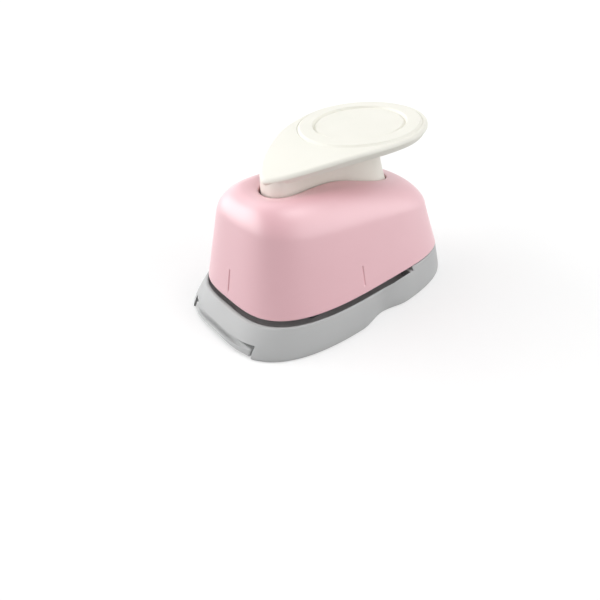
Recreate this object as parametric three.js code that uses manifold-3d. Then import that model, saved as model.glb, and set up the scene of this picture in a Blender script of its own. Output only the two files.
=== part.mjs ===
/**
 * Hand-held lever punch that cuts a round disc out of paper and thin card.
 *
 * A moulded housing stands over a moulded base. Paper enters the slot between them, from the front
 * or from either side. Inside, a round steel punch slides in a cast guide block above a steel die
 * plate. The lever turns on a pin at its front nose, so pressing the round pad at its rear drives
 * the punch down through the paper, and a coil spring lifts it again. The discs fall through the
 * die into a shallow tray that slides out at the front.
 *
 * Units are millimetres. +Z is up, the front faces -Y, and the origin is on the ground under the
 * middle of the base.
 */
import * as THREE from "three";
import { mergeVertices } from "three/addons/utils/BufferGeometryUtils.js";
import Module from "manifold-3d";

const wasm = await Module();
wasm.setup();

// Fits and tools
const CLEARANCE = 0.3; // air between pieces that slide, turn or stand beside each other
const OVERRUN = 4; // how far a cutter passes the face that it opens
const WELD = 0.6; // how deep a feature is sunk into the wall that it is moulded on

// Cut
const CUT = { diameter: 16, axisY: -4.7 };

// Housing
const HOUSING = {
  widestY: 6,
  halfWidth: 21.3,
  frontReach: 37.4,
  rearReach: 28.2,
  frontPower: 3.45,
  rearPower: 3.45,
  lowerEdgeZ: 8.4,
  topZ: 35.1,
  crownY: -26,
  crownRadius: 175,
  crossRadius: 62,
  wall: 2,
  sideDraft: THREE.MathUtils.degToRad(11),
  frontDraft: THREE.MathUtils.degToRad(9.5),
  rearDraft: THREE.MathUtils.degToRad(9.5),
  sideShoulder: 7,
  frontShoulder: 7,
  rearShoulder: 7.8,
  wallShare: 0.68, // share of the height below the shoulder
  crownShares: [0.87, 0.74, 0.6, 0.42, 0.2], // rings on the crown, as shares of its reach
  dish: { y: -15.5, depth: 3, halfWidth: 7.5, halfLength: 10 }, // hollow that the lever's nose sits in
  bossRadius: 3.4,
  bossX: 13.4,
  bossY: 24.4,
  pilotDepth: 10.2,
  locatorRadius: 2.5,
  locatorX: 11.8,
  locatorY: -14.6,
  openingGap: 0.5,
};

// Centring marks, moulded in the housing's front and sides
const MARK = { width: 0.7, depth: 0.4, lowZ: 10.2, highZ: 16.4, sideHighZ: 14.4 };

// Paper slot
const SLOT = { height: 1.4, lead: 0.9 };

// Base
const BASE = {
  widestY: 0,
  halfWidth: 23.7,
  frontReach: 36.4,
  rearReach: 36,
  frontPower: 3.15,
  rearPower: 3.3,
  footRadius: 0.6,
  slopePower: 1.3,
  waistDepth: 1.5,
  waistY: 0.8,
  waistHalfLength: 9,
  wall: 1.8,
  sidePocket: { innerX: 12.6, outerX: 19.6, frontY: -9.6, rearY: 6.4 },
  rearPocket: { halfWidth: 8.4, frontY: 16.4, rearY: 31 },
  pocketCorner: 1.5,
};
const RIM_Z = HOUSING.lowerEdgeZ - SLOT.height;

// Die plate, with the spacer and the guide block that stand on it
const DIE = { halfWidth: 16.2, frontY: -19.2, rearY: 13.2, thickness: 2.2, corner: 2 };
const SPACER = { frontY: 6.4, thickness: 1.3, notchRadius: 3.2 };
const GUIDE = { halfWidth: 14.7, thickness: 5, corner: 3, lead: 1.1, waistRadius: 5, waistInset: 2.6 };
const DIE_FLOOR_Z = RIM_Z - DIE.thickness;
const GUIDE_Z = RIM_Z + SPACER.thickness;
const GUIDE_TOP_Z = GUIDE_Z + GUIDE.thickness;
const SLOT_END_Y = DIE.rearY + 2 * CLEARANCE;

// Tray
const TRAY = {
  innerHalfWidth: 8.5,
  wall: 1,
  floor: 0.8,
  lowZ: 0.4,
  height: 2.1,
  runnerWidth: 1,
  runnerHeight: 0.9,
  frontHalfWidth: 12.6,
  frontSetBack: 0.4,
  frontThickness: 3.2,
  topGap: 0.5,
};

// Punch, plunger cap and return spring
const PUNCH = { lowAboveRim: 1.6, length: 12.2, chamfer: 0.5, hollowRadius: 26 };
const CAP = { radius: 10.2, thickness: 2.1, hubRadius: 6.4, hubHeight: 1, edge: 0.5 };
const SPRING = { wire: 1.1, coilRadius: 9.6, turns: 3.5, seatDepth: 0.8, sides: 5, stepsPerTurn: 8 };
const PUNCH_Z = RIM_Z + PUNCH.lowAboveRim;
const CAP_Z = PUNCH_Z + PUNCH.length;
const CAP_TOP_Z = CAP_Z + CAP.hubHeight + CAP.thickness;

// Lever
const PIVOT = { y: -15.2, z: 33.4, pinRadius: 1.1, pinHalfLength: 3.7 };
const LEVER = {
  padY: 13.2,
  padRadius: 18.2,
  tipY: -20.4,
  sidePower: 1.5,
  tipPower: 1.65,
  kneeY: 2,
  kneeZ: 42.9,
  tilt: THREE.MathUtils.degToRad(6.5),
  noseDrop: 3.9,
  skin: 1.7,
  rim: 2.5,
  rimInnerShare: 0.9, // where the down-turned rim starts and ends, as shares of the plate's reach
  rimOuterShare: 0.955,
  edgeRadius: 0.7,
  ringInner: 12.6,
  ringOuter: 16.7,
  ringHeight: 0.5,
  ringEdge: 0.25,
  noseRadius: 3.7,
  cheek: 1.6,
  skirtZ: 27.8,
  heelZ: 25.8,
  heelY: 9,
  heelEndY: 14,
  cavityFrontY: -11.6,
  tongueRadius: 1.5,
  tongueHalfWidth: 3.9,
  ribThickness: 1.3,
  ribZ: 33,
};
const LEVER_RIBS = [{ y: 3.4, halfWidth: 5 }, { y: 9.6, halfWidth: 6 }];

// Right half of the lever's skirt seen from above, [x, y] from its nose to its rear: under the
// plate, and at its lower edge, where the rear flares
const SKIRT_TOP = [
  [0, -18.9], [2.2, -18.7], [3.9, -17.7], [4.6, -15.9], [4.7, -13], [4.7, -9.5], [4.8, -6], [5, -2.5],
  [5.6, 1.5], [6.4, 5], [7, 8.8], [6.8, 12.4], [5.2, 15.4], [2.8, 16.9], [0, 17.3],
];
const SKIRT_LOW = [
  [0, -18.9], [2.2, -18.7], [3.9, -17.7], [4.6, -15.9], [4.7, -13], [4.7, -9.5], [4.8, -6], [5.1, -2.5],
  [6, 1.2], [7.4, 4.6], [8.6, 8.8], [8.8, 13], [7.4, 16.9], [4.3, 19.4], [0, 20.4],
];

// Pivot bracket
const BRACKET = {
  earInnerX: 1.4,
  earThickness: 1.2,
  eyeRadius: 2.1,
  footHalfWidth: 8.6,
  footFrontY: -19,
  rearY: -15.3,
  kneeZ: 27,
  thickness: 1.2,
  corner: 1,
};

// Screws: shank radius, head radius, head height
const LONG_SCREW = { shank: 1.4, head: 2.5, headHeight: 1.5, recess: 1.2, dome: 0.3 };
const SHORT_SCREW = { shank: 1.1, head: 1.9, headHeight: 1.2, recess: 1.1, dome: 0.3 };
const HOUSING_SCREW = { length: 14.6 };
const DIE_SCREW = { x: 10.6, y: 10.6, length: 9.6 };
const PLATE_SCREW = { x: 13.5, y: -15.4, length: 4.6 };
const BRACKET_SCREW = { x: 6.3, y: -17, length: 3.6 };
const CAP_SCREW = { shank: 1.4, head: 2.6, headHeight: 1.2, length: 5, dome: 0.3 };

// Facets
const OUTLINE_SIDES = 72;
const ROUND_SIDES = 40;
const SKIRT_SIDES = 56;
const SCREW_SIDES = 16;
const SHOULDER_STEPS = 6;
const SLOPE_STEPS = 5;
const ARC_STEPS = 10;

const PLASTIC = { roughness: 0.4, metalness: 0 };
const MATERIALS = {
  housing: new THREE.MeshStandardMaterial({ color: 0xe3b3bb, ...PLASTIC }),
  base: new THREE.MeshStandardMaterial({ color: 0xc4c5c4, ...PLASTIC }),
  lever: new THREE.MeshStandardMaterial({ color: 0xf2f0e6, ...PLASTIC }),
  cap: new THREE.MeshStandardMaterial({ color: 0x3a3b3d, roughness: 0.5, metalness: 0 }),
  steel: new THREE.MeshStandardMaterial({ color: 0x9a9da0, roughness: 0.3, metalness: 1 }),
  zinc: new THREE.MeshStandardMaterial({ color: 0x8d8f92, roughness: 0.5, metalness: 1 }),
  spring: new THREE.MeshStandardMaterial({ color: 0x74777b, roughness: 0.3, metalness: 1 }),
};

/** Closed mesh as a solid that can be joined and cut. */
function solid(geometry) {
  const bare = geometry.clone();
  bare.deleteAttribute("normal");
  bare.deleteAttribute("uv");
  const merged = mergeVertices(bare);
  return new wasm.Manifold(
    new wasm.Mesh({
      numProp: 3,
      vertProperties: new Float32Array(merged.attributes.position.array),
      triVerts: new Uint32Array(merged.index.array),
    }),
  );
}

/** Solid as a geometry that a mesh can show. */
function geometryOf(body) {
  const { vertProperties, triVerts } = body.getMesh();
  const geometry = new THREE.BufferGeometry();
  geometry.setAttribute("position", new THREE.BufferAttribute(vertProperties, 3));
  geometry.setIndex(new THREE.BufferAttribute(triVerts, 1));
  return geometry;
}

/** Closed skin through rings with equal point counts, each end closed by a fan. */
function loft(rings) {
  const count = rings[0].length;
  const middle = (ring) => ring.reduce((sum, p) => sum.add(p), new THREE.Vector3()).divideScalar(count);
  const points = [...rings.flat(), middle(rings[0]), middle(rings.at(-1))];
  const lowest = rings.length * count;
  const faces = [];
  for (let j = 0; j < count; j++) {
    const next = (j + 1) % count;
    faces.push(lowest, next, j);
    faces.push(lowest + 1, lowest - count + j, lowest - count + next);
    for (let i = 0; i + 1 < rings.length; i++) {
      const low = i * count;
      const high = low + count;
      faces.push(low + j, low + next, high + next, low + j, high + next, high + j);
    }
  }
  const geometry = new THREE.BufferGeometry().setFromPoints(points);
  geometry.setIndex(faces);
  return geometry;
}

/** Outline drawn in X and Y, extruded upright between two heights. */
function prism(shape, lowZ, highZ, curveSegments = ARC_STEPS) {
  const depth = highZ - lowZ;
  const geometry = new THREE.ExtrudeGeometry(shape, { depth, curveSegments, bevelEnabled: false });
  return solid(geometry.translate(0, 0, lowZ));
}

/** Side view drawn in Y and Z, extruded across from lowX to highX. */
function slab(shape, lowX, highX, curveSegments = ARC_STEPS) {
  const depth = highX - lowX;
  const geometry = new THREE.ExtrudeGeometry(shape, { depth, curveSegments, bevelEnabled: false });
  const [x, y, z] = [new THREE.Vector3(1, 0, 0), new THREE.Vector3(0, 1, 0), new THREE.Vector3(0, 0, 1)];
  geometry.applyMatrix4(new THREE.Matrix4().makeBasis(y, z, x));
  return solid(geometry.translate(lowX, 0, 0));
}

function block([lowX, lowY, lowZ], [highX, highY, highZ]) {
  const geometry = new THREE.BoxGeometry(highX - lowX, highY - lowY, highZ - lowZ);
  return solid(geometry.translate((lowX + highX) / 2, (lowY + highY) / 2, (lowZ + highZ) / 2));
}

function post(radius, x, y, lowZ, highZ, sides = ROUND_SIDES) {
  const geometry = new THREE.CylinderGeometry(radius, radius, highZ - lowZ, sides);
  return solid(geometry.rotateX(Math.PI / 2).translate(x, y, (lowZ + highZ) / 2));
}

/** Round bar across the object. */
function rod(radius, lowX, highX, y, z, sides = ROUND_SIDES) {
  const geometry = new THREE.CylinderGeometry(radius, radius, highX - lowX, sides);
  return solid(geometry.rotateZ(Math.PI / 2).translate((lowX + highX) / 2, y, z));
}

/** Piece turned about an upright axis, from a list of [radius, height] that runs upwards. */
function turned(profile, x, y, sides = ROUND_SIDES) {
  const points = profile.map(([radius, height]) => new THREE.Vector2(radius, height));
  return solid(new THREE.LatheGeometry(points, sides).rotateX(Math.PI / 2).translate(x, y, 0));
}

function rectangle(lowX, lowY, highX, highY, corner) {
  const shape = new THREE.Shape();
  shape.moveTo(lowX + corner, lowY);
  shape.lineTo(highX - corner, lowY);
  shape.absarc(highX - corner, lowY + corner, corner, -Math.PI / 2, 0);
  shape.absarc(highX - corner, highY - corner, corner, 0, Math.PI / 2);
  shape.absarc(lowX + corner, highY - corner, corner, Math.PI / 2, Math.PI);
  shape.absarc(lowX + corner, lowY + corner, corner, Math.PI, 1.5 * Math.PI);
  return shape;
}

/** Same solid and its mirror image on the other side of the middle plane, as one. */
function both(body) {
  return body.add(body.mirror([1, 0, 0]));
}

/** Point of an outline at a polar angle: a superellipse whose front and rear halves differ. */
function outlinePoint(angle, { widestY, halfWidth, frontReach, rearReach, frontPower, rearPower }) {
  const isFront = Math.sin(angle) < 0;
  const reach = isFront ? frontReach : rearReach;
  const power = isFront ? frontPower : rearPower;
  const across = Math.abs(Math.cos(angle) / halfWidth) ** power;
  const along = Math.abs(Math.sin(angle) / reach) ** power;
  const radius = (across + along) ** (-1 / power);
  return new THREE.Vector2(radius * Math.cos(angle), widestY + radius * Math.sin(angle));
}

function outlineAngles() {
  return Array.from({ length: OUTLINE_SIDES }, (_, k) => (2 * Math.PI * k) / OUTLINE_SIDES);
}

/** Height of the housing's crown: curved along and across, and dished round the lever's nose. */
function crownZ(x, y) {
  const { dish } = HOUSING;
  const along = (y - HOUSING.crownY) ** 2 / (2 * HOUSING.crownRadius);
  const across = x ** 2 / (2 * HOUSING.crossRadius);
  const dished = Math.exp(-((x / dish.halfWidth) ** 2) - ((y - dish.y) / dish.halfLength) ** 2);
  return HOUSING.topZ - along - across - dish.depth * dished;
}

/** Ring of the housing's skin, drawn in by its draft, its shoulder and a wall thickness. */
function housingRing(heightShare, shoulderShare, reachShare, thickness) {
  const height = (HOUSING.topZ - HOUSING.lowerEdgeZ) * heightShare;
  const drawnIn = (draft, shoulder) => Math.tan(draft) * height + shoulder * shoulderShare + thickness;
  const outline = {
    ...HOUSING,
    halfWidth: (HOUSING.halfWidth - drawnIn(HOUSING.sideDraft, HOUSING.sideShoulder)) * reachShare,
    frontReach: (HOUSING.frontReach - drawnIn(HOUSING.frontDraft, HOUSING.frontShoulder)) * reachShare,
    rearReach: (HOUSING.rearReach - drawnIn(HOUSING.rearDraft, HOUSING.rearShoulder)) * reachShare,
  };
  return outlineAngles().map((angle) => {
    const { x, y } = outlinePoint(angle, outline);
    const rise = (crownZ(x, y) - thickness - HOUSING.lowerEdgeZ) * heightShare;
    return new THREE.Vector3(x, y, HOUSING.lowerEdgeZ + rise);
  });
}

/** The housing's full form, or the form inside it at a wall thickness. */
function housingForm(thickness) {
  const rings = [housingRing(0, 0, 1, thickness)];
  for (let k = 0; k <= SHOULDER_STEPS; k++) {
    const turn = ((Math.PI / 2) * k) / SHOULDER_STEPS;
    const heightShare = HOUSING.wallShare + (1 - HOUSING.wallShare) * Math.sin(turn);
    rings.push(housingRing(heightShare, 1 - Math.cos(turn), 1, thickness));
  }
  for (const share of HOUSING.crownShares) {
    rings.push(housingRing(1, 1, share, thickness));
  }
  if (thickness > 0) {
    const foot = rings[0].map((p) => new THREE.Vector3(p.x, p.y, p.z - OVERRUN));
    rings.unshift(foot);
  }
  return solid(loft(rings));
}

/** Ring of the skirt at a height, drawn in by a thickness. Its rear flares towards its lower edge. */
function skirtRing(z, thickness) {
  const drop = THREE.MathUtils.clamp((LEVER.kneeZ - z) / (LEVER.kneeZ - LEVER.skirtZ), 0, 1);
  const half = SKIRT_TOP.map(([x, y], k) => {
    const [lowX, lowY] = SKIRT_LOW[k];
    return new THREE.Vector3(THREE.MathUtils.lerp(x, lowX, drop ** 2), THREE.MathUtils.lerp(y, lowY, drop ** 2), z);
  });
  const mirrored = half.slice(1, -1).reverse().map((p) => new THREE.Vector3(-p.x, p.y, z));
  const curve = new THREE.CatmullRomCurve3([...half, ...mirrored], true, "catmullrom");
  return Array.from({ length: SKIRT_SIDES }, (_, k) => {
    const share = (k + 0.5) / SKIRT_SIDES; // no point stands on the middle plane
    const along = curve.getTangent(share);
    const inwards = new THREE.Vector3(-along.y, along.x, 0);
    return curve.getPoint(share).addScaledVector(inwards, thickness);
  });
}

/** Upright form of the skirt under the plate, or of the hollow in it at a wall thickness. */
function skirtForm(thickness, lowZ) {
  const rings = [skirtRing(lowZ, thickness)];
  for (let k = 0; k <= SHOULDER_STEPS; k++) {
    rings.push(skirtRing(THREE.MathUtils.lerp(LEVER.skirtZ, LEVER.kneeZ, k / SHOULDER_STEPS), thickness));
  }
  rings.push(skirtRing(LEVER.kneeZ + LEVER.noseRadius, thickness));
  return solid(loft(rings));
}

/** Grooves in the housing that show the middle of the cut, on the front and on both sides. */
function centringMarks() {
  const half = MARK.width / 2;
  const reach = HOUSING.frontReach + HOUSING.rearReach;
  const front = block([-half, -reach, MARK.lowZ], [half, CUT.axisY, MARK.highZ]);
  const side = block([-reach, CUT.axisY - half, MARK.lowZ], [reach, CUT.axisY + half, MARK.sideHighZ]);
  return front.add(side).subtract(housingForm(MARK.depth));
}

function housing() {
  const outside = housingForm(0);
  const inside = housingForm(HOUSING.wall);
  const lowZ = HOUSING.lowerEdgeZ;
  const boss = post(HOUSING.bossRadius, HOUSING.bossX, HOUSING.bossY, lowZ, HOUSING.topZ);
  const locatorZ = GUIDE_TOP_Z + CLEARANCE;
  const locator = post(HOUSING.locatorRadius, HOUSING.locatorX, HOUSING.locatorY, locatorZ, HOUSING.topZ);
  const pilotRadius = LONG_SCREW.shank + CLEARANCE;
  const pilot = post(
    pilotRadius, HOUSING.bossX, HOUSING.bossY, lowZ - OVERRUN, lowZ + HOUSING.pilotDepth, SCREW_SIDES,
  );
  return outside
    .subtract(inside)
    .add(both(boss.add(locator)).intersect(outside))
    .subtract(skirtForm(-HOUSING.openingGap, inside.boundingBox().min[2]))
    .subtract(both(pilot))
    .subtract(centringMarks());
}

/** Share of the waist's full depth at a place along the side. */
function waistShare(y) {
  const t = (y - BASE.waistY) / BASE.waistHalfLength;
  return Math.abs(t) < 1 ? Math.cos((Math.PI / 2) * t) ** 2 : 0;
}

/** Ring of the base: its own outline at the foot, the housing's lower outline at the top. */
function baseRing(z, topShare, drawnIn) {
  const foot = {
    ...BASE,
    halfWidth: BASE.halfWidth - drawnIn,
    frontReach: BASE.frontReach - drawnIn,
    rearReach: BASE.rearReach - drawnIn,
  };
  return outlineAngles().map((angle) => {
    const low = outlinePoint(angle, foot);
    low.x *= 1 - (BASE.waistDepth / BASE.halfWidth) * waistShare(low.y);
    const { x, y } = low.lerp(outlinePoint(angle, HOUSING), topShare);
    return new THREE.Vector3(x, y, z);
  });
}

/** The base's outer form: a small foot radius, then a swelling slope up to the housing. */
function baseForm(drawnIn = 0) {
  const rings = [baseRing(0, 0, drawnIn + BASE.footRadius)];
  const highZ = HOUSING.lowerEdgeZ - CLEARANCE;
  for (let k = 0; k <= SLOPE_STEPS; k++) {
    const share = k / SLOPE_STEPS;
    rings.push(baseRing(THREE.MathUtils.lerp(BASE.footRadius, highZ, share), share ** BASE.slopePower, drawnIn));
  }
  return solid(loft(rings));
}

const trayHalfWidth = TRAY.innerHalfWidth + TRAY.wall;
const runnerHalfWidth = trayHalfWidth + TRAY.runnerWidth;
const trayTopZ = TRAY.lowZ + TRAY.height;
const trayRearY = CUT.axisY + TRAY.innerHalfWidth + TRAY.wall;
const deckZ = trayTopZ + TRAY.topGap;
const frontY = BASE.widestY - BASE.frontReach;

/** Room for the tray: a channel with a ledge on each side, and a wide mouth at the front. */
function trayChannel() {
  const ledgeZ = trayTopZ - TRAY.runnerHeight - CLEARANCE;
  const rearY = trayRearY + CLEARANCE;
  const lower = trayHalfWidth + CLEARANCE;
  const upper = runnerHalfWidth + CLEARANCE;
  const mouthY = frontY + TRAY.frontSetBack + TRAY.frontThickness + CLEARANCE;
  const mouth = TRAY.frontHalfWidth + CLEARANCE;
  return block([-lower, frontY - OVERRUN, -OVERRUN], [lower, rearY, deckZ])
    .add(block([-upper, frontY - OVERRUN, ledgeZ], [upper, rearY, deckZ]))
    .add(block([-mouth, frontY - OVERRUN, -OVERRUN], [mouth, mouthY, deckZ]));
}

/** Screw hole from below, with a round recess that sinks the head. */
function screwHole(screw, x, y, highZ) {
  const headRoom = post(screw.head + CLEARANCE, x, y, -OVERRUN, screw.recess + screw.headHeight, SCREW_SIDES);
  return headRoom.add(post(screw.shank + CLEARANCE, x, y, -OVERRUN, highZ, SCREW_SIDES));
}

function base() {
  const { sidePocket: side, rearPocket: rear } = BASE;
  const throat = block(
    [-BASE.halfWidth - OVERRUN, frontY - OVERRUN, RIM_Z],
    [BASE.halfWidth + OVERRUN, SLOT_END_Y, HOUSING.lowerEdgeZ + OVERRUN],
  );
  const seat = DIE.halfWidth + CLEARANCE;
  const corner = DIE.corner;
  const dieSeat = rectangle(-seat, DIE.frontY - CLEARANCE, seat, DIE.rearY + CLEARANCE, corner);
  const sideShape = rectangle(side.innerX, side.frontY, side.outerX, side.rearY, BASE.pocketCorner);
  const rearShape = rectangle(-rear.halfWidth, rear.frontY, rear.halfWidth, rear.rearY, BASE.pocketCorner);
  const chute = post(TRAY.innerHalfWidth, 0, CUT.axisY, 0, DIE_FLOOR_Z + OVERRUN);
  const holes = screwHole(LONG_SCREW, HOUSING.bossX, HOUSING.bossY, HOUSING.lowerEdgeZ)
    .add(screwHole(LONG_SCREW, DIE_SCREW.x, DIE_SCREW.y, RIM_Z))
    .add(screwHole(SHORT_SCREW, PLATE_SCREW.x, PLATE_SCREW.y, RIM_Z));
  return baseForm()
    .subtract(throat)
    .subtract(prism(dieSeat, DIE_FLOOR_Z, RIM_Z + OVERRUN))
    .subtract(trayChannel())
    .subtract(both(prism(sideShape, -OVERRUN, deckZ)))
    .subtract(prism(rearShape, -OVERRUN, RIM_Z - BASE.wall))
    .subtract(chute)
    .subtract(both(holes));
}

/** Tray that catches the discs: an open box whose runners ride on the base's ledges. */
function tray() {
  const low = TRAY.lowZ;
  const faceY = frontY + TRAY.frontSetBack;
  const body = block([-trayHalfWidth, faceY, low], [trayHalfWidth, trayRearY, trayTopZ]);
  const runnerZ = trayTopZ - TRAY.runnerHeight;
  const runners = block([-runnerHalfWidth, faceY, runnerZ], [runnerHalfWidth, trayRearY, trayTopZ]);
  const frontInnerY = faceY + TRAY.frontThickness;
  const front = block([-TRAY.frontHalfWidth, faceY, low], [TRAY.frontHalfWidth, frontInnerY, trayTopZ]);
  const hollow = block(
    [-TRAY.innerHalfWidth, frontInnerY, low + TRAY.floor],
    [TRAY.innerHalfWidth, trayRearY - TRAY.wall, trayTopZ + OVERRUN],
  );
  return body.add(runners).add(front).intersect(baseForm(TRAY.frontSetBack)).subtract(hollow);
}

const dieHoleRadius = CUT.diameter / 2 + CLEARANCE;

/** Hardened plate that the punch cuts against, with its relieved round hole. */
function diePlate() {
  const shape = rectangle(-DIE.halfWidth, DIE.frontY, DIE.halfWidth, DIE.rearY, DIE.corner);
  const long = post(LONG_SCREW.shank + CLEARANCE, DIE_SCREW.x, DIE_SCREW.y, 0, GUIDE_TOP_Z, SCREW_SIDES);
  const short = post(SHORT_SCREW.shank + CLEARANCE, PLATE_SCREW.x, PLATE_SCREW.y, 0, GUIDE_TOP_Z, SCREW_SIDES);
  return prism(shape, DIE_FLOOR_Z, RIM_Z)
    .subtract(post(dieHoleRadius, 0, CUT.axisY, 0, GUIDE_TOP_Z))
    .subtract(both(long.add(short)));
}

/** Spacer that keeps the paper gap open and stops the paper, notched round the die. */
function spacer() {
  const shape = rectangle(-GUIDE.halfWidth, SPACER.frontY, GUIDE.halfWidth, DIE.rearY, DIE.corner / 2);
  const long = post(LONG_SCREW.shank + CLEARANCE, DIE_SCREW.x, DIE_SCREW.y, 0, GUIDE_TOP_Z, SCREW_SIDES);
  return prism(shape, RIM_Z, GUIDE_Z)
    .subtract(post(SPACER.notchRadius, 0, SPACER.frontY, 0, GUIDE_TOP_Z))
    .subtract(both(long));
}

/** Cast block that guides the punch, with the spring's seat round its bore. */
function guideBlock() {
  const shape = rectangle(-GUIDE.halfWidth, DIE.frontY, GUIDE.halfWidth, DIE.rearY, GUIDE.corner);
  const lead = new THREE.Shape([
    new THREE.Vector2(DIE.frontY - OVERRUN, GUIDE_Z - OVERRUN),
    new THREE.Vector2(DIE.frontY + GUIDE.lead + OVERRUN, GUIDE_Z - OVERRUN),
    new THREE.Vector2(DIE.frontY - OVERRUN, GUIDE_Z + GUIDE.lead + OVERRUN),
  ]);
  const waistX = GUIDE.halfWidth + GUIDE.waistRadius - GUIDE.waistInset;
  const waist = post(GUIDE.waistRadius, waistX, (SPACER.frontY + CUT.axisY) / 2, 0, GUIDE_TOP_Z + OVERRUN);
  const seatRadius = SPRING.coilRadius + SPRING.wire / 2 + CLEARANCE;
  const seat = post(seatRadius, 0, CUT.axisY, GUIDE_TOP_Z - SPRING.seatDepth, CAP_Z);
  const long = post(LONG_SCREW.shank + CLEARANCE, DIE_SCREW.x, DIE_SCREW.y, 0, CAP_Z, SCREW_SIDES);
  const short = post(
    SHORT_SCREW.shank + CLEARANCE, BRACKET_SCREW.x, BRACKET_SCREW.y, GUIDE_Z + SLOT.lead, CAP_Z, SCREW_SIDES,
  );
  const width = GUIDE.halfWidth + OVERRUN;
  return prism(shape, GUIDE_Z, GUIDE_TOP_Z)
    .subtract(slab(lead, -width, width))
    .subtract(post(dieHoleRadius, 0, CUT.axisY, 0, CAP_Z))
    .subtract(seat)
    .subtract(both(waist.add(long).add(short)));
}

/** Round punch with a hollow-ground lower face and a tapped hole for the cap's screw. */
function punch() {
  const radius = CUT.diameter / 2;
  const highZ = PUNCH_Z + PUNCH.length;
  const body = turned(
    [[0, PUNCH_Z], [radius, PUNCH_Z], [radius, highZ - PUNCH.chamfer], [radius - PUNCH.chamfer, highZ], [0, highZ]],
    0, CUT.axisY,
  );
  const sag = PUNCH.hollowRadius - Math.sqrt(PUNCH.hollowRadius ** 2 - (radius - PUNCH.chamfer) ** 2);
  const hollow = new THREE.SphereGeometry(PUNCH.hollowRadius, ROUND_SIDES, ROUND_SIDES);
  hollow.rotateX(Math.PI / 2).translate(0, CUT.axisY, PUNCH_Z + sag - PUNCH.hollowRadius);
  const tapped = post(
    CAP_SCREW.shank + CLEARANCE, 0, CUT.axisY, highZ - CAP_SCREW.length, highZ + OVERRUN, SCREW_SIDES,
  );
  return body.subtract(solid(hollow)).subtract(tapped);
}

/** Cap on the punch: the lever's tongue presses its top and the spring its flange. */
function plungerCap() {
  const flangeZ = CAP_Z + CAP.hubHeight;
  const seatZ = CAP_TOP_Z - CAP_SCREW.headHeight - CAP_SCREW.dome;
  const body = turned(
    [
      [0, CAP_Z],
      [CAP.hubRadius, CAP_Z],
      [CAP.hubRadius, flangeZ],
      [CAP.radius, flangeZ],
      [CAP.radius, CAP_TOP_Z - CAP.edge],
      [CAP.radius - CAP.edge, CAP_TOP_Z],
      [0, CAP_TOP_Z],
    ],
    0, CUT.axisY,
  );
  return body
    .subtract(post(CAP_SCREW.head + CLEARANCE, 0, CUT.axisY, seatZ, CAP_TOP_Z + OVERRUN, SCREW_SIDES))
    .subtract(post(CAP_SCREW.shank + CLEARANCE, 0, CUT.axisY, 0, CAP_TOP_Z + OVERRUN, SCREW_SIDES));
}

/** Screw with a domed head at headZ. Its shank points up when direction is 1, down when it is -1. */
function screw({ shank, head, headHeight, dome }, x, y, headZ, length, direction) {
  const profile = [
    [0, -headHeight - dome],
    [head * Math.SQRT1_2, -headHeight - dome * Math.SQRT1_2],
    [head, -headHeight],
    [head, 0],
    [shank, 0],
    [shank, length - shank],
    [0, length],
  ];
  const placed = profile.map(([radius, along]) => [radius, headZ + direction * along]);
  return turned(direction > 0 ? placed : placed.reverse(), x, y, SCREW_SIDES);
}

/** Centre line of the return spring: a helix whose ends run straight for one wire diameter. */
function springPath() {
  const lowZ = GUIDE_TOP_Z - SPRING.seatDepth + SPRING.wire / 2;
  const highZ = CAP_Z + CAP.hubHeight - SPRING.wire / 2 - CLEARANCE / 2;
  const steps = SPRING.turns * SPRING.stepsPerTurn;
  const points = [];
  for (let k = 0; k <= steps; k++) {
    const turn = (2 * Math.PI * k) / SPRING.stepsPerTurn;
    const x = SPRING.coilRadius * Math.cos(turn);
    const y = CUT.axisY + SPRING.coilRadius * Math.sin(turn);
    points.push(new THREE.Vector3(x, y, lowZ + ((highZ - lowZ) * k) / steps));
  }
  const run = (turn, sign) =>
    new THREE.Vector3(-Math.sin(turn), Math.cos(turn), 0).multiplyScalar(sign * SPRING.wire);
  points.unshift(points[0].clone().add(run(0, -1)));
  points.push(points.at(-1).clone().add(run(2 * Math.PI * SPRING.turns, 1)));
  return points;
}

/** Least air between wires of neighbouring coils, measured between points of the centre line. */
function springGap(path) {
  let least = Infinity;
  for (let i = 0; i < path.length; i++) {
    for (let j = i + SPRING.stepsPerTurn - 2; j < path.length; j++) {
      least = Math.min(least, path[i].distanceTo(path[j]));
    }
  }
  return least - SPRING.wire;
}

/** Unbroken wire tube along the spring's centre line. */
function returnSpring() {
  const path = springPath();
  console.log(`return spring: least gap to itself ${springGap(path).toFixed(2)} mm`);
  const axis = new THREE.Vector3(0, CUT.axisY, 0);
  const rings = path.map((centre) => {
    const outwards = centre.clone().sub(axis).setZ(0).normalize();
    return Array.from({ length: SPRING.sides }, (_, k) => {
      const turn = (2 * Math.PI * k) / SPRING.sides;
      const offset = outwards.clone().multiplyScalar(-Math.cos(turn)).setZ(Math.sin(turn));
      return offset.multiplyScalar(SPRING.wire / 2).add(centre);
    });
  });
  return loft(rings);
}

/** Height of the lever's top: straight at the pad, drooping from the knee to the nose. */
function leverTopZ(y) {
  const beyond = Math.min(0, y - LEVER.kneeY);
  const droop = LEVER.noseDrop / (LEVER.kneeY - LEVER.tipY) ** 2;
  return LEVER.kneeZ + Math.tan(LEVER.tilt) * (y - LEVER.kneeY) - droop * beyond ** 2;
}

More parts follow.
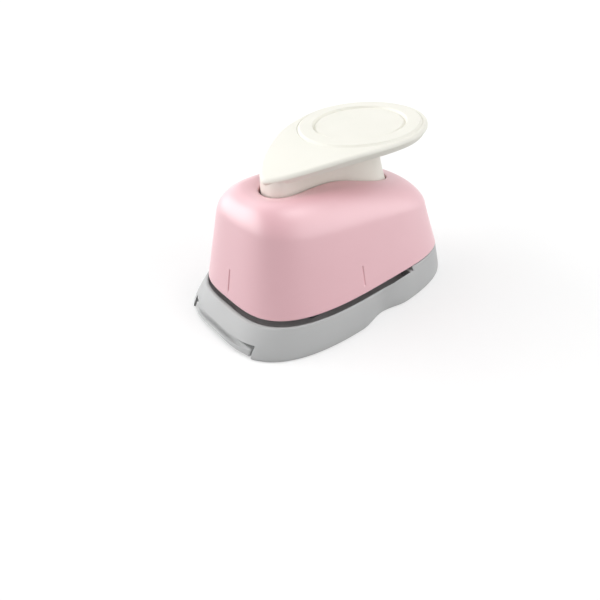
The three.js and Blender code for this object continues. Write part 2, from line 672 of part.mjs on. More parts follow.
/** Ring of the lever's plate: a round pad that tapers to the nose, at a depth below the top. */
function plateRing(share, depth) {
  const middleY = (LEVER.padY + LEVER.kneeY) / 2;
  return outlineAngles().map((angle) => {
    const [c, s] = [Math.cos(angle), Math.sin(angle)];
    const [acrossPower, alongPower] = s < 0 ? [2 / LEVER.sidePower, 2 / LEVER.tipPower] : [1, 1];
    const reach = s < 0 ? LEVER.padY - LEVER.tipY : LEVER.padRadius;
    const x = share * LEVER.padRadius * Math.sign(c) * Math.abs(c) ** acrossPower;
    const edgeY = LEVER.padY + reach * Math.sign(s) * Math.abs(s) ** alongPower;
    const y = middleY + share * (edgeY - middleY);
    return new THREE.Vector3(x, y, leverTopZ(y) - depth);
  });
}

/** The plate, with a rounded edge, a side that slopes in and a down-turned rim. */
function plate() {
  const inner = LEVER.rimInnerShare;
  const edgeShare = LEVER.edgeRadius / LEVER.padRadius;
  const rings = [
    [0.2, LEVER.skin],
    [0.6, LEVER.skin],
    [inner - edgeShare, LEVER.skin],
    [inner, LEVER.rim],
    [LEVER.rimOuterShare, LEVER.rim],
    [1, LEVER.edgeRadius],
    [1 - edgeShare * (1 - Math.SQRT1_2), LEVER.edgeRadius * (1 - Math.SQRT1_2)],
    [1 - edgeShare, 0],
    [0.8, 0],
    [0.6, 0],
    [0.4, 0],
    [0.2, 0],
  ];
  return solid(loft(rings.map(([share, depth]) => plateRing(share, depth))));
}

/** Low raised ring on the pad. */
function padRing() {
  const edge = LEVER.ringEdge;
  const profile = [
    [LEVER.ringInner, -WELD],
    [LEVER.ringOuter, -WELD],
    [LEVER.ringOuter, LEVER.ringHeight - edge],
    [LEVER.ringOuter - edge, LEVER.ringHeight],
    [LEVER.ringInner + edge, LEVER.ringHeight],
    [LEVER.ringInner, LEVER.ringHeight - edge],
    [LEVER.ringInner, -WELD],
  ];
  const points = profile.map(([radius, height]) => new THREE.Vector2(radius, height));
  const geometry = new THREE.LatheGeometry(points, OUTLINE_SIDES).rotateX(Math.PI / 2);
  return solid(geometry.rotateX(LEVER.tilt).translate(0, LEVER.padY, leverTopZ(LEVER.padY)));
}

/** Side view of the skirt: round nose about the pin, plate above, stepped lower edge. */
function skirtProfile() {
  const shape = new THREE.Shape();
  const rearY = LEVER.padY + LEVER.padRadius;
  shape.moveTo(PIVOT.y, PIVOT.z - LEVER.noseRadius);
  shape.absarc(PIVOT.y, PIVOT.z, LEVER.noseRadius, -Math.PI / 2, -Math.PI * 1.05, true);
  const startY = PIVOT.y - LEVER.noseRadius * Math.SQRT1_2;
  for (let k = 0; k <= ARC_STEPS; k++) {
    const y = THREE.MathUtils.lerp(startY, rearY, k / ARC_STEPS);
    shape.lineTo(y, leverTopZ(y) - LEVER.skin / 2);
  }
  shape.lineTo(rearY, LEVER.heelZ);
  shape.lineTo(LEVER.heelEndY, LEVER.heelZ);
  shape.lineTo(LEVER.heelY, LEVER.skirtZ);
  shape.lineTo(LEVER.cavityFrontY, LEVER.skirtZ);
  return shape;
}

/** Side view of everything under the plate's skin, from a place backwards. */
function underPlate(fromY, lowZ) {
  const rearY = LEVER.padY + LEVER.padRadius;
  const points = [new THREE.Vector2(rearY, lowZ), new THREE.Vector2(fromY, lowZ)].reverse();
  for (let k = ARC_STEPS; k >= 0; k--) {
    const y = THREE.MathUtils.lerp(fromY, rearY, k / ARC_STEPS);
    points.push(new THREE.Vector2(y, leverTopZ(y) - LEVER.skin));
  }
  return new THREE.Shape(points);
}

/** Room in the nose for the bracket's ears, the eyes and the pin's ends. */
function noseRoom() {
  const halfWidth = BRACKET.earInnerX + BRACKET.earThickness + CLEARANCE;
  const eye = BRACKET.eyeRadius + CLEARANCE;
  const lowZ = PIVOT.z - LEVER.noseRadius - OVERRUN;
  const pinRoom = PIVOT.pinHalfLength + CLEARANCE;
  return rod(eye, -halfWidth, halfWidth, PIVOT.y, PIVOT.z)
    .add(block([-halfWidth, PIVOT.y - eye, lowZ], [halfWidth, LEVER.cavityFrontY + WELD, PIVOT.z]))
    .add(rod(PIVOT.pinRadius + CLEARANCE, -pinRoom, pinRoom, PIVOT.y, PIVOT.z, SCREW_SIDES));
}

/** Tongue that presses the cap: a cross wall with a round lower edge. */
function tongue() {
  const radius = LEVER.tongueRadius;
  const centreZ = CAP_TOP_Z + CLEARANCE + radius;
  const shape = new THREE.Shape();
  shape.moveTo(CUT.axisY - radius, leverTopZ(CUT.axisY) - LEVER.skin);
  shape.lineTo(CUT.axisY - radius, centreZ);
  shape.absarc(CUT.axisY, centreZ, radius, Math.PI, 2 * Math.PI);
  shape.lineTo(CUT.axisY + radius, leverTopZ(CUT.axisY) - LEVER.skin);
  return slab(shape, -LEVER.tongueHalfWidth, LEVER.tongueHalfWidth);
}

/** Cross rib between the cheeks, up into the plate's skin. */
function crossRib({ y, halfWidth }) {
  const half = LEVER.ribThickness / 2;
  const highZ = leverTopZ(y - half) - LEVER.skin + WELD;
  return block([-halfWidth, y - half, LEVER.ribZ], [halfWidth, y + half, highZ]);
}

function lever() {
  const width = LEVER.padRadius;
  const lowZ = LEVER.heelZ - OVERRUN;
  const skirt = skirtForm(0, lowZ).intersect(slab(skirtProfile(), -width, width, ARC_STEPS * 2));
  const hollow = skirtForm(LEVER.cheek, lowZ - OVERRUN).intersect(
    slab(underPlate(LEVER.cavityFrontY, lowZ - OVERRUN), -width, width),
  );
  let body = plate().add(padRing()).add(skirt).subtract(hollow).subtract(noseRoom());
  for (const rib of LEVER_RIBS) {
    body = body.add(crossRib(rib));
  }
  return body.add(tongue());
}

/** Side view of one of the bracket's ears: upright, with a round eye for the pin. */
function earProfile() {
  const shape = new THREE.Shape();
  const { eyeRadius, rearY, kneeZ } = BRACKET;
  shape.moveTo(PIVOT.y - eyeRadius, GUIDE_TOP_Z);
  shape.lineTo(rearY, GUIDE_TOP_Z);
  shape.lineTo(rearY, kneeZ);
  shape.lineTo(PIVOT.y + eyeRadius, PIVOT.z);
  shape.absarc(PIVOT.y, PIVOT.z, eyeRadius, 0, Math.PI);
  shape.lineTo(PIVOT.y - eyeRadius, GUIDE_TOP_Z);
  return shape;
}

/** Folded steel bracket: a screwed foot and two ears that carry the pin. */
function bracket() {
  const foot = rectangle(
    -BRACKET.footHalfWidth, BRACKET.footFrontY, BRACKET.footHalfWidth, BRACKET.rearY, BRACKET.corner,
  );
  const ear = slab(earProfile(), BRACKET.earInnerX, BRACKET.earInnerX + BRACKET.earThickness);
  const screwRoom = post(
    SHORT_SCREW.shank + CLEARANCE, BRACKET_SCREW.x, BRACKET_SCREW.y, 0, BRACKET.kneeZ, SCREW_SIDES,
  );
  const width = BRACKET.footHalfWidth;
  return prism(foot, GUIDE_TOP_Z, GUIDE_TOP_Z + BRACKET.thickness)
    .add(both(ear))
    .subtract(both(screwRoom))
    .subtract(rod(PIVOT.pinRadius + CLEARANCE, -width, width, PIVOT.y, PIVOT.z, SCREW_SIDES));
}

/** Pin that the lever turns on. */
function pivotPin() {
  return rod(PIVOT.pinRadius, -PIVOT.pinHalfLength, PIVOT.pinHalfLength, PIVOT.y, PIVOT.z, SCREW_SIDES);
}

const object = new THREE.Group();

function place(name, body, material) {
  const geometry = body.isBufferGeometry ? body : geometryOf(body);
  const mesh = new THREE.Mesh(geometry, material);
  mesh.name = name;
  object.add(mesh);
}

/** A left and a right screw, at the same distance from the middle. */
function placePair(name, kind, { x, y, length }, headZ, direction) {
  for (const [side, sign] of [["left", -1], ["right", 1]]) {
    place(`${name}_${side}`, screw(kind, sign * x, y, headZ, length, direction), MATERIALS.steel);
  }
}

place("base", base(), MATERIALS.base);
place("disc_tray", tray(), MATERIALS.base);
place("die_plate", diePlate(), MATERIALS.steel);
place("throat_spacer", spacer(), MATERIALS.steel);
place("guide_block", guideBlock(), MATERIALS.zinc);
place("punch", punch(), MATERIALS.steel);
place("plunger_cap", plungerCap(), MATERIALS.cap);
place("return_spring", returnSpring(), MATERIALS.spring);
place("pivot_bracket", bracket(), MATERIALS.steel);
place("pivot_pin", pivotPin(), MATERIALS.steel);
place("lever", lever(), MATERIALS.lever);
place("housing", housing(), MATERIALS.housing);

const capScrewZ = CAP_TOP_Z - CAP_SCREW.headHeight - CAP_SCREW.dome;
place("cap_screw", screw(CAP_SCREW, 0, CUT.axisY, capScrewZ, CAP_SCREW.length, -1), MATERIALS.steel);
const longHeadZ = LONG_SCREW.recess + LONG_SCREW.headHeight - CLEARANCE;
const shortHeadZ = SHORT_SCREW.recess + SHORT_SCREW.headHeight - CLEARANCE;
const housingScrew = { x: HOUSING.bossX, y: HOUSING.bossY, length: HOUSING_SCREW.length };
placePair("housing_screw", LONG_SCREW, housingScrew, longHeadZ, 1);
placePair("die_screw", LONG_SCREW, DIE_SCREW, longHeadZ, 1);
placePair("plate_screw", SHORT_SCREW, PLATE_SCREW, shortHeadZ, 1);
const bracketHeadZ = GUIDE_TOP_Z + BRACKET.thickness + CLEARANCE;
placePair("bracket_screw", SHORT_SCREW, BRACKET_SCREW, bracketHeadZ, -1);

export default object;
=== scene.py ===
import bpy
import numpy as np
from mathutils import Matrix, Vector


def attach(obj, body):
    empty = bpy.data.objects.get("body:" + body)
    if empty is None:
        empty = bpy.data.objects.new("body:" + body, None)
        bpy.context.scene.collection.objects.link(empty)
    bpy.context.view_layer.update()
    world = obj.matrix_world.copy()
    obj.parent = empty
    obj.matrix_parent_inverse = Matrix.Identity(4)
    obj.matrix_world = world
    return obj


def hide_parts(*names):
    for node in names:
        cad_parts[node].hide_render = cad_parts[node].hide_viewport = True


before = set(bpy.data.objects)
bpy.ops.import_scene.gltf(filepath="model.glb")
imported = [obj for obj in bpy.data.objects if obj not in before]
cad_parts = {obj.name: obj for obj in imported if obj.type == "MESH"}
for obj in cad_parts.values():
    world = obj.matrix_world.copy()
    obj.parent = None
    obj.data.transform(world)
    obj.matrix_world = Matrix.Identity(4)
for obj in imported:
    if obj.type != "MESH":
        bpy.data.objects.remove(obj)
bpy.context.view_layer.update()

# Camera. It stands in front of the punch's right front corner and a little above it, close by, so
# the front looks larger than the rear. Its place and lens were fitted to the outlines in the
# photograph, and the shift is the photograph's off-centre crop.
MM = 0.001
CAMERA_PLACE = (86.84, -77.5, 79.06)
camera_data = bpy.data.cameras.new("camera")
camera_data.lens = 28.52
camera_data.sensor_width = 36
camera_data.shift_x = -0.0477
camera_data.shift_y = -0.1633
camera_data.clip_start = 1 * MM
camera = bpy.data.objects.new("camera", camera_data)
camera_right = Vector((0.6752, 0.7376, 0)).normalized()
camera_ahead = Vector((-0.6681, 0.6116, -0.4236)).normalized()
camera_up = camera_right.cross(camera_ahead)
camera_turn = Matrix((camera_right, camera_up, -camera_ahead)).transposed().to_4x4()
camera.matrix_world = Matrix.Translation(Vector(CAMERA_PLACE) * MM) @ camera_turn
bpy.context.scene.collection.objects.link(camera)
bpy.context.scene.camera = camera


# Housing. The pink shell that stands over the works, moulded in ABS in one piece: drafted walls,
# a large round shoulder, and a crown that falls to the rear. The lever comes out of an opening in
# its crown, and two screws from below hold it on bosses at the rear.
HOUSING_MIDDLE_Y = 6.0
HOUSING_LOW_Z, HOUSING_TOP_Z = 8.4, 35.1
HOUSING_HALF_WIDTH, HOUSING_FRONT, HOUSING_REAR = 21.3, 37.4, 28.2
HOUSING_POWER = 3.45  # of its outline: 2 is an ellipse, and more is nearer to a rectangle
HOUSING_WALL = 2.0
HOUSING_WALL_SHARE = 0.73  # of its height is straight wall, the rest is shoulder
SIDE_DRAFT, END_DRAFT = 11, 9.5
SIDE_SHOULDER, FRONT_SHOULDER, REAR_SHOULDER = 6.6, 5.8, 6.9
CROWN_Y, CROWN_RADIUS, CROSS_RADIUS = -26, 175, 62
DISH_Y, DISH_DEPTH, DISH_HALF_WIDTH, DISH_HALF_LENGTH = -15.5, 3.0, 7.5, 10.0
HALVINGS = 36


def outline_radius(angle, half_width, front, rear, front_power, rear_power):
    """Polar radius of a moulding's outline: a superellipse, with its own reach and power in front
    and behind. The sum of |cos/half_width|^power and |sin/reach|^power, to the power -1/power."""
    is_front = np.sin(angle) < 0
    reach = np.where(is_front, front, rear)
    power = np.where(is_front, front_power, rear_power)
    across = np.abs(np.cos(angle) / half_width) ** power
    along = np.abs(np.sin(angle) / reach) ** power
    return (across + along) ** (-1 / power)


def crown_z(x, y):
    """Height of the crown: the top, less a circle's fall along the punch and another one across,
    less a bell-shaped dish round the lever's nose."""
    fall = (y - CROWN_Y) ** 2 / (2 * CROWN_RADIUS)
    cross_fall = x**2 / (2 * CROSS_RADIUS)
    dish = DISH_DEPTH * np.exp(-((x / DISH_HALF_WIDTH) ** 2) - ((y - DISH_Y) / DISH_HALF_LENGTH) ** 2)
    return HOUSING_TOP_Z - fall - cross_fall - dish


def housing_reach(angle, rise, inset):
    """Polar radius of the housing, and its share of the crown's height there. Rise runs from 0 to
    1 up the drafted wall, to 2 round a quarter ellipse, and to 3 over the crown to its middle."""
    turn = np.clip(rise - 1, 0, 1) * np.pi / 2
    bend = HOUSING_WALL_SHARE + (1 - HOUSING_WALL_SHARE) * np.sin(turn)
    height = np.where(rise < 1, HOUSING_WALL_SHARE * rise, bend)

    def drawn_in(draft, shoulder):
        slope = np.tan(np.radians(draft)) * (HOUSING_TOP_Z - HOUSING_LOW_Z)
        return slope * height + shoulder * (1 - np.cos(turn)) + inset

    half_width = HOUSING_HALF_WIDTH - drawn_in(SIDE_DRAFT, SIDE_SHOULDER)
    front = HOUSING_FRONT - drawn_in(END_DRAFT, FRONT_SHOULDER)
    rear = HOUSING_REAR - drawn_in(END_DRAFT, REAR_SHOULDER)
    radius = outline_radius(angle, half_width, front, rear, HOUSING_POWER, HOUSING_POWER)
    return radius * np.clip(3 - rise, 0, 1), height


def housing_points(angle, rise, inset=0.0):
    """Points of the housing's skin at polar angles and rises, or of the skin inside it: the polar
    radius about its middle, and the share of the way up from the lower edge to the crown."""
    radius, height = housing_reach(angle, rise, inset)
    x, y = radius * np.cos(angle), HOUSING_MIDDLE_Y + radius * np.sin(angle)
    z = HOUSING_LOW_Z + (crown_z(x, y) - inset - HOUSING_LOW_Z) * height
    return np.stack([x, y, z], axis=-1)


def rise_at(angle, radius, inset=0.0):
    """Rise at which the housing's skin has a given polar radius, found by halving."""
    low, high = np.zeros_like(angle), np.full_like(angle, 3.0)
    for _ in range(HALVINGS):
        middle = (low + high) / 2
        is_outside = housing_reach(angle, middle, inset)[0] > radius
        low, high = np.where(is_outside, middle, low), np.where(is_outside, high, middle)
    return (low + high) / 2


def closed_curve(half, count, offset=0.0):
    """Smooth closed outline through half an outline's points and their mirror image: a Catmull-Rom
    curve with as many steps between each two points, moved outwards along its normal by an offset."""
    half = np.array(half)
    mirrored = half[1:-1][::-1] * [-1, 1]
    knots = np.concatenate([half, mirrored])
    t = np.linspace(0, len(knots), count, endpoint=False)
    first = t.astype(int)
    u = (t - first)[:, None]
    p0, p1, p2, p3 = (knots[(first + step) % len(knots)] for step in (-1, 0, 1, 2))
    cubic = (2 * p0 - 5 * p1 + 4 * p2 - p3) + u * (3 * (p1 - p2) + p3 - p0)
    curve = p1 + u * ((p2 - p0) + u * cubic) / 2
    along = np.roll(curve, -1, axis=0) - np.roll(curve, 1, axis=0)
    normal = np.stack([along[:, 1], -along[:, 0]], axis=-1)
    return curve + offset * normal / np.linalg.norm(normal, axis=1)[:, None]


# Half outlines of the lever's skirt, from the nose to the rear, under the plate and at its low
# edge: they are alike at the nose, and the low one flares at the rear. The opening follows them.
SKIRT_NOSE = [(0, -18.5), (2.2, -18.25), (3.8, -17.2), (4.6, -15.6), (4.7, -13), (4.7, -9.5), (4.8, -6)]
SKIRT_TOP = SKIRT_NOSE + [
    (5, -2.5), (5.6, 1.5), (6.4, 5), (7, 8.8), (6.8, 12.4), (5.2, 15.4), (2.8, 16.9), (0, 17.3),
]
SKIRT_LOW = SKIRT_NOSE + [
    (5.1, -2.5), (6, 1.2), (7.4, 4.6), (8.6, 8.8), (8.8, 13), (7.4, 16.9), (4.3, 19.4), (0, 20.4),
]
SKIRT_TOP_Z, SKIRT_LOW_Z = 42.9, 27.8
OPENING_GAP = 0.5
OPENING_STEPS = 1200


def flare(z):
    """Share of the skirt's flare at a height: the square of the way down from the plate."""
    return np.clip((SKIRT_TOP_Z - z) / (SKIRT_TOP_Z - SKIRT_LOW_Z), 0, 1) ** 2


def opening_radius(angle, z):
    """Polar radius of the crown's opening about the housing's middle, at a height: that of both
    skirt outlines moved out by the gap, blended by the flare."""
    radii = []
    for half in (SKIRT_TOP, SKIRT_LOW):
        x, y = closed_curve(half, OPENING_STEPS, OPENING_GAP).T
        y = y - HOUSING_MIDDLE_Y
        polar = np.arctan2(y, x)
        order = np.argsort(polar)
        radii.append(np.interp(angle, polar[order], np.hypot(x, y)[order], period=2 * np.pi))
    return radii[0] + (radii[1] - radii[0]) * flare(z)


def fillet(start, corner, end, steps):
    """Rows of points on a parabola from start to end that is tangent to both lines to the corner."""
    t = np.linspace(0, 1, steps + 2)[1:-1, None, None]
    return (1 - t) ** 2 * start + 2 * t * (1 - t) * corner + t**2 * end


def skin(rows, is_loop=False, has_flat_ends=False):
    """Vertices and faces over a grid of points. Columns run round anticlockwise and close on
    themselves, rows run up the outside. Ends are closed by a fan or one flat face, or rows close too."""
    count, columns = rows.shape[:2]
    index = np.arange(count * columns).reshape(count, columns)
    if is_loop:
        index = np.vstack([index, index[:1]])
    beside = np.roll(index, -1, axis=1)
    faces = np.stack([index[:-1], beside[:-1], beside[1:], index[1:]], axis=-1).reshape(-1, 4).tolist()
    points = rows.reshape(-1, 3)
    if has_flat_ends:
        faces += [index[0][::-1].tolist(), index[-1].tolist()]
    elif not is_loop:
        low, high = count * columns, count * columns + 1
        points = np.vstack([points, rows[0].mean(axis=0), rows[-1].mean(axis=0)])
        faces += np.stack([beside[0], index[0], np.full(columns, low)], axis=-1).tolist()
        faces += np.stack([index[-1], beside[-1], np.full(columns, high)], axis=-1).tolist()
    return points, faces


def piece(name, shells, sharp_from=40):
    """Object in metres from closed shells in millimetres, smooth up to an angle between faces."""
    points, faces, first = [], [], 0
    for shell_points, shell_faces in shells:
        points.append(shell_points)
        faces += [[first + corner for corner in face] for face in shell_faces]
        first += len(shell_points)
    mesh = bpy.data.meshes.new(name)
    mesh.from_pydata((np.vstack(points) * MM).tolist(), [], faces)
    mesh.shade_smooth()
    mesh.set_sharp_from_angle(angle=np.radians(sharp_from))
    made = bpy.data.objects.new(name, mesh)
    bpy.context.scene.collection.objects.link(made)
    return made


# The centring marks are shallow grooves at the middle of the cut, 0.7 mm wide, one in front and
# one on each side. The grid's own columns make room beside them for closer ones.
CUT_Y = -4.7
MARK_HALF_WIDTH, MARK_DEPTH = 0.35, 0.25
MARK_SIDE_RAMP, MARK_END_RAMP = 0.18, 0.3  # lengths over which a mark gets its depth
MARK_LOW_Z, FRONT_MARK_TOP_Z, SIDE_MARK_TOP_Z = 10.2, 16.4, 15.6
FRONT_MARK_LIMIT_Y, SIDE_MARK_LIMIT_X = -20, 15  # the marks lie further out than these
MARK_ROOM = 0.8  # left free of the grid's own columns on each side of a mark's middle
MARK_BEND = 0.16  # radians over which the columns beside a side mark bend
HOUSING_COLUMNS = 384
side_angle = np.arctan2(CUT_Y - HOUSING_MIDDLE_Y, 20.75)  # 20.75 mm out at the marks' height
side_reach = 21.8
mark_steps = np.array([-0.6, -0.42, -0.35, -0.26, -0.17, 0, 0.17, 0.26, 0.35, 0.42, 0.6])
mark_angles = [(-np.pi / 2, HOUSING_FRONT), (side_angle, side_reach), (-np.pi - side_angle, side_reach)]
housing_angles = np.linspace(-np.pi * 1.25, np.pi * 0.75, HOUSING_COLUMNS, endpoint=False)
for middle, reach in mark_angles:
    housing_angles = housing_angles[np.abs(housing_angles - middle) > MARK_ROOM / reach]
mark_columns = [middle + mark_steps / reach for middle, reach in mark_angles]
housing_angles = np.sort(np.concatenate([housing_angles] + mark_columns))


def followed(angle, rise):
    """Polar angles of columns that bend with the draft beside a side mark, so that the mark stays
    upright. The angle that meets the mark's place at each rise is found by halving, and its shift
    fades to both sides of the mark as a bell curve."""
    level = np.linspace(0, 1, 40)
    low, high = np.full_like(level, -1.2), np.zeros_like(level)
    for _ in range(HALVINGS):
        middle = (low + high) / 2
        is_before = housing_reach(middle, level, 0.0)[0] * np.sin(middle) < CUT_Y - HOUSING_MIDDLE_Y
        low, high = np.where(is_before, middle, low), np.where(is_before, high, middle)
    shift = np.interp(rise, level, (low + high) / 2) - side_angle
    bent = np.broadcast_to(angle, np.broadcast_shapes(angle.shape, rise.shape)).copy()
    for centre, sign in ((side_angle, 1), (-np.pi - side_angle, -1)):
        bent += sign * shift * np.exp(-(((angle - centre) / MARK_BEND) ** 2))
    return bent


def carve_marks(points):
    """Moves points inwards in the marks: full depth in the middle, none at the mark's edges, and
    an S-shaped ramp between them."""
    x, y, z = np.moveaxis(points, -1, 0)

    def inside(value, low, high, ramp_length):
        ramp = np.clip(np.minimum(value - low, high - value) / ramp_length, 0, 1)
        return ramp * ramp * (3 - 2 * ramp)

    half = MARK_HALF_WIDTH
    is_in_front, is_at_side = y < FRONT_MARK_LIMIT_Y, np.abs(x) > SIDE_MARK_LIMIT_X
    front = inside(x, -half, half, MARK_SIDE_RAMP) * is_in_front
    front = front * inside(z, MARK_LOW_Z, FRONT_MARK_TOP_Z, MARK_END_RAMP)
    side = inside(y, CUT_Y - half, CUT_Y + half, MARK_SIDE_RAMP) * is_at_side
    side = side * inside(z, MARK_LOW_Z, SIDE_MARK_TOP_Z, MARK_END_RAMP)
    carved = points.copy()
    carved[..., 1] += MARK_DEPTH * front
    carved[..., 0] -= MARK_DEPTH * side * np.sign(x)
    return carved


# Rows of the outer wall, by rise: they stand close between the marks' lower and upper ends
FILLET_RISE, WALL_RISE, MARKS_RISE, PLAIN_RISE = 0.018, 0.03, 0.085, 0.51
OPENING_FILLET = 0.45
EDGE_FILLET = 0.3
angle = housing_angles[None, :]
wall_rise = np.concatenate([
    np.linspace(WALL_RISE, MARKS_RISE, 4, endpoint=False),
    np.linspace(MARKS_RISE, PLAIN_RISE, 34, endpoint=False),
    np.linspace(PLAIN_RISE, 1, 10, endpoint=False),
])[:, None]
outer_wall = carve_marks(housing_points(followed(angle, wall_rise), wall_rise))
bent_top = followed(angle, np.ones((1, 1)))

# The opening's edge lies on the crown: its radius and height settle in a few rounds
rim_radius = opening_radius(bent_top, 33.0)
for _ in range(4):
    rim_z = housing_points(bent_top, rise_at(bent_top, rim_radius))[..., 2]
    rim_radius = opening_radius(bent_top, rim_z)
last_rise = rise_at(bent_top, rim_radius + OPENING_FILLET)
outer_top = housing_points(bent_top, 1 + (last_rise - 1) * np.linspace(0, 1, 44)[:, None])
rim_x, rim_y = rim_radius * np.cos(bent_top), HOUSING_MIDDLE_Y + rim_radius * np.sin(bent_top)
rim = np.stack([rim_x, rim_y, rim_z], axis=-1)
rim_down = rim - [0, 0, OPENING_FILLET]
inner_rise = rise_at(bent_top, rim_radius, HOUSING_WALL)
inner_top = housing_points(bent_top, 1 + (inner_rise - 1) * np.linspace(1, 0, 24)[:, None], HOUSING_WALL)
inner_wall = housing_points(angle, np.linspace(0.95, 0, 14)[:, None], HOUSING_WALL)

foot = housing_points(angle, np.zeros((1, 1)))
foot_inwards = housing_points(angle, np.zeros((1, 1)), EDGE_FILLET)
foot_up = housing_points(angle, np.full((1, 1), FILLET_RISE))
housing_rows = np.concatenate([
    foot_inwards, fillet(foot_inwards, foot, foot_up, 3), foot_up, outer_wall, outer_top,
    fillet(outer_top[-1:], rim, rim_down, 5), rim_down, inner_top, inner_wall,
])
housing_shells = [skin(housing_rows, is_loop=True)]

# Inside stand two screw bosses at the rear and two locating posts over the guide block
BOSS_X, BOSS_Y = 13.4, 24.4
LOCATOR_X, LOCATOR_Y, LOCATOR_LOW_Z = 11.8, -14.6, 13.6
POST_SIDES = 40
POST_MIDDLE = 0.3  # radius of the innermost ring under the roof, as a share of the post's


def housing_post(x, y, low_z, radius, bore, bore_depth):
    """Post with a blind hole, turned from five rings, whose top follows the middle of the
    housing's wall."""
    turn = np.linspace(0, 2 * np.pi, POST_SIDES, endpoint=False)
    hole = [(bore, low_z + bore_depth), (bore, low_z)]
    rows = []
    for reach, z in hole + [(radius, low_z), (radius, None), (POST_MIDDLE * radius, None)]:
        px, py = x + reach * np.cos(turn), y + reach * np.sin(turn)
        polar, distance = np.arctan2(py - HOUSING_MIDDLE_Y, px), np.hypot(px, py - HOUSING_MIDDLE_Y)
        roof = housing_points(polar, rise_at(polar, distance, HOUSING_WALL / 2), HOUSING_WALL / 2)[:, 2]
        rows.append(np.column_stack([px, py, roof if z is None else np.full(len(turn), z)]))
    return skin(np.array(rows))


for side in (-1, 1):
    housing_shells.append(
        housing_post(side * BOSS_X, BOSS_Y, HOUSING_LOW_Z, radius=3.4, bore=1.7, bore_depth=10.2)
    )
    housing_shells.append(
        housing_post(side * LOCATOR_X, LOCATOR_Y, LOCATOR_LOW_Z, radius=2.5, bore=1.0, bore_depth=3.0)
    )
housing = piece("housing_moulding", housing_shells)
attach(housing, "body")
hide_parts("housing")


def linear(code):
    """Linear RGBA of an sRGB hex colour: each channel c is ((c + 0.055) / 1.055) to the power 2.4,
    or c / 12.92 where it is nearly black."""
    channels = np.array([int(code[k : k + 2], 16) for k in (1, 3, 5)]) / 255
    low = channels / 12.92
    return (*np.where(channels > 0.04045, ((channels + 0.055) / 1.055) ** 2.4, low).tolist(), 1.0)


def add(material, kind, inputs=None, **settings):
    """Adds one node. An input is a value for its socket or another node's socket to link to it."""
    tree = material.node_tree
    node = tree.nodes.new(kind)
    for name, value in settings.items():
        setattr(node, name, value)
    for name, value in (inputs or {}).items():
        if isinstance(value, bpy.types.NodeSocket):
            tree.links.new(value, node.inputs[name])
        else:
            node.inputs[name].default_value = value
    return node


def moulded_plastic(name, colour, deep, roughness, spread, relief):
    """ABS moulded in a spark-eroded steel tool. The resin's pigment drifts a little over 9 mm, the
    gloss varies over 5 mm with the tool's polish, and the tool leaves a fine grain. A real grain of
    0.05 mm is too fine to show, so it is drawn 0.5 mm wide."""
    material = bpy.data.materials.new(name)
    material.use_nodes = True
    shader = material.node_tree.nodes["Principled BSDF"]
    place = add(material, "ShaderNodeTexCoord").outputs["Object"]
    drift = add(material, "ShaderNodeTexNoise", {"Vector": place, "Scale": 1 / (9 * MM), "Detail": 1.0})
    polish = add(material, "ShaderNodeTexNoise", {"Vector": place, "Scale": 1 / (5 * MM), "Detail": 1.0})
    grain = add(material, "ShaderNodeTexNoise", {"Vector": place, "Scale": 1 / (0.5 * MM), "Detail": 2.0})
    tint = add(
        material, "ShaderNodeMix",
        {0: drift.outputs[0], 6: linear(colour), 7: linear(deep)}, data_type="RGBA",
    )
    gloss = add(
        material, "ShaderNodeMapRange",
        {"Value": polish.outputs[0], "From Min": 0.0, "From Max": 1.0, "To Min": roughness - spread,
         "To Max": roughness + spread},
    )
    bump = add(
        material, "ShaderNodeBump", {"Height": grain.outputs[0], "Strength": 1.0, "Distance": relief * MM},
    )
    links = material.node_tree.links
    links.new(tint.outputs[2], shader.inputs["Base Color"])
    links.new(gloss.outputs[0], shader.inputs["Roughness"])
    links.new(bump.outputs[0], shader.inputs["Normal"])
    shader.inputs["IOR"].default_value = 1.54
    return material


# Semi-gloss pink ABS: even colour on the walls. The coat gives it a second, soft and strong sheen,
# which lies broad and pale on the shoulder and the crown.
pink_abs = moulded_plastic(
    "pink_abs_semi_gloss", "#e7b4bc", "#e4b0b8", roughness=0.42, spread=0.03, relief=0.003,
)
pink_shader = pink_abs.node_tree.nodes["Principled BSDF"]
pink_shader.inputs["Coat Weight"].default_value = 1.0
pink_shader.inputs["Coat IOR"].default_value = 1.75
pink_shader.inputs["Coat Roughness"].default_value = 0.42
housing.data.materials.append(pink_abs)


# Base. A light grey ABS moulding that carries everything. Its sides swell up from the foot to the
# housing, with a shallow waist on each side, and its top is the floor of the paper slot. It is
# hollowed from below for the tray, the discs' way down, the screws and to save plastic.
BASE_HALF_WIDTH, BASE_FRONT, BASE_REAR = 23.7, 36.4, 36
BASE_FRONT_POWER, BASE_REAR_POWER = 3.15, 3.3
BASE_SLOPE_POWER = 1.3
BASE_FOOT_RADIUS = 0.6
BASE_TOP_Z = 8.1
WAIST_Y, WAIST_HALF_LENGTH, WAIST_DEPTH = 0.8, 9, 1.5
SLOT_FLOOR_Z = 7.0
SLOT_END_Y = 13.8
RIM_FILLET = 0.3
CLEARANCE = 0.3
OVERRUN = 4.0  # how far a cut goes past the face that it opens


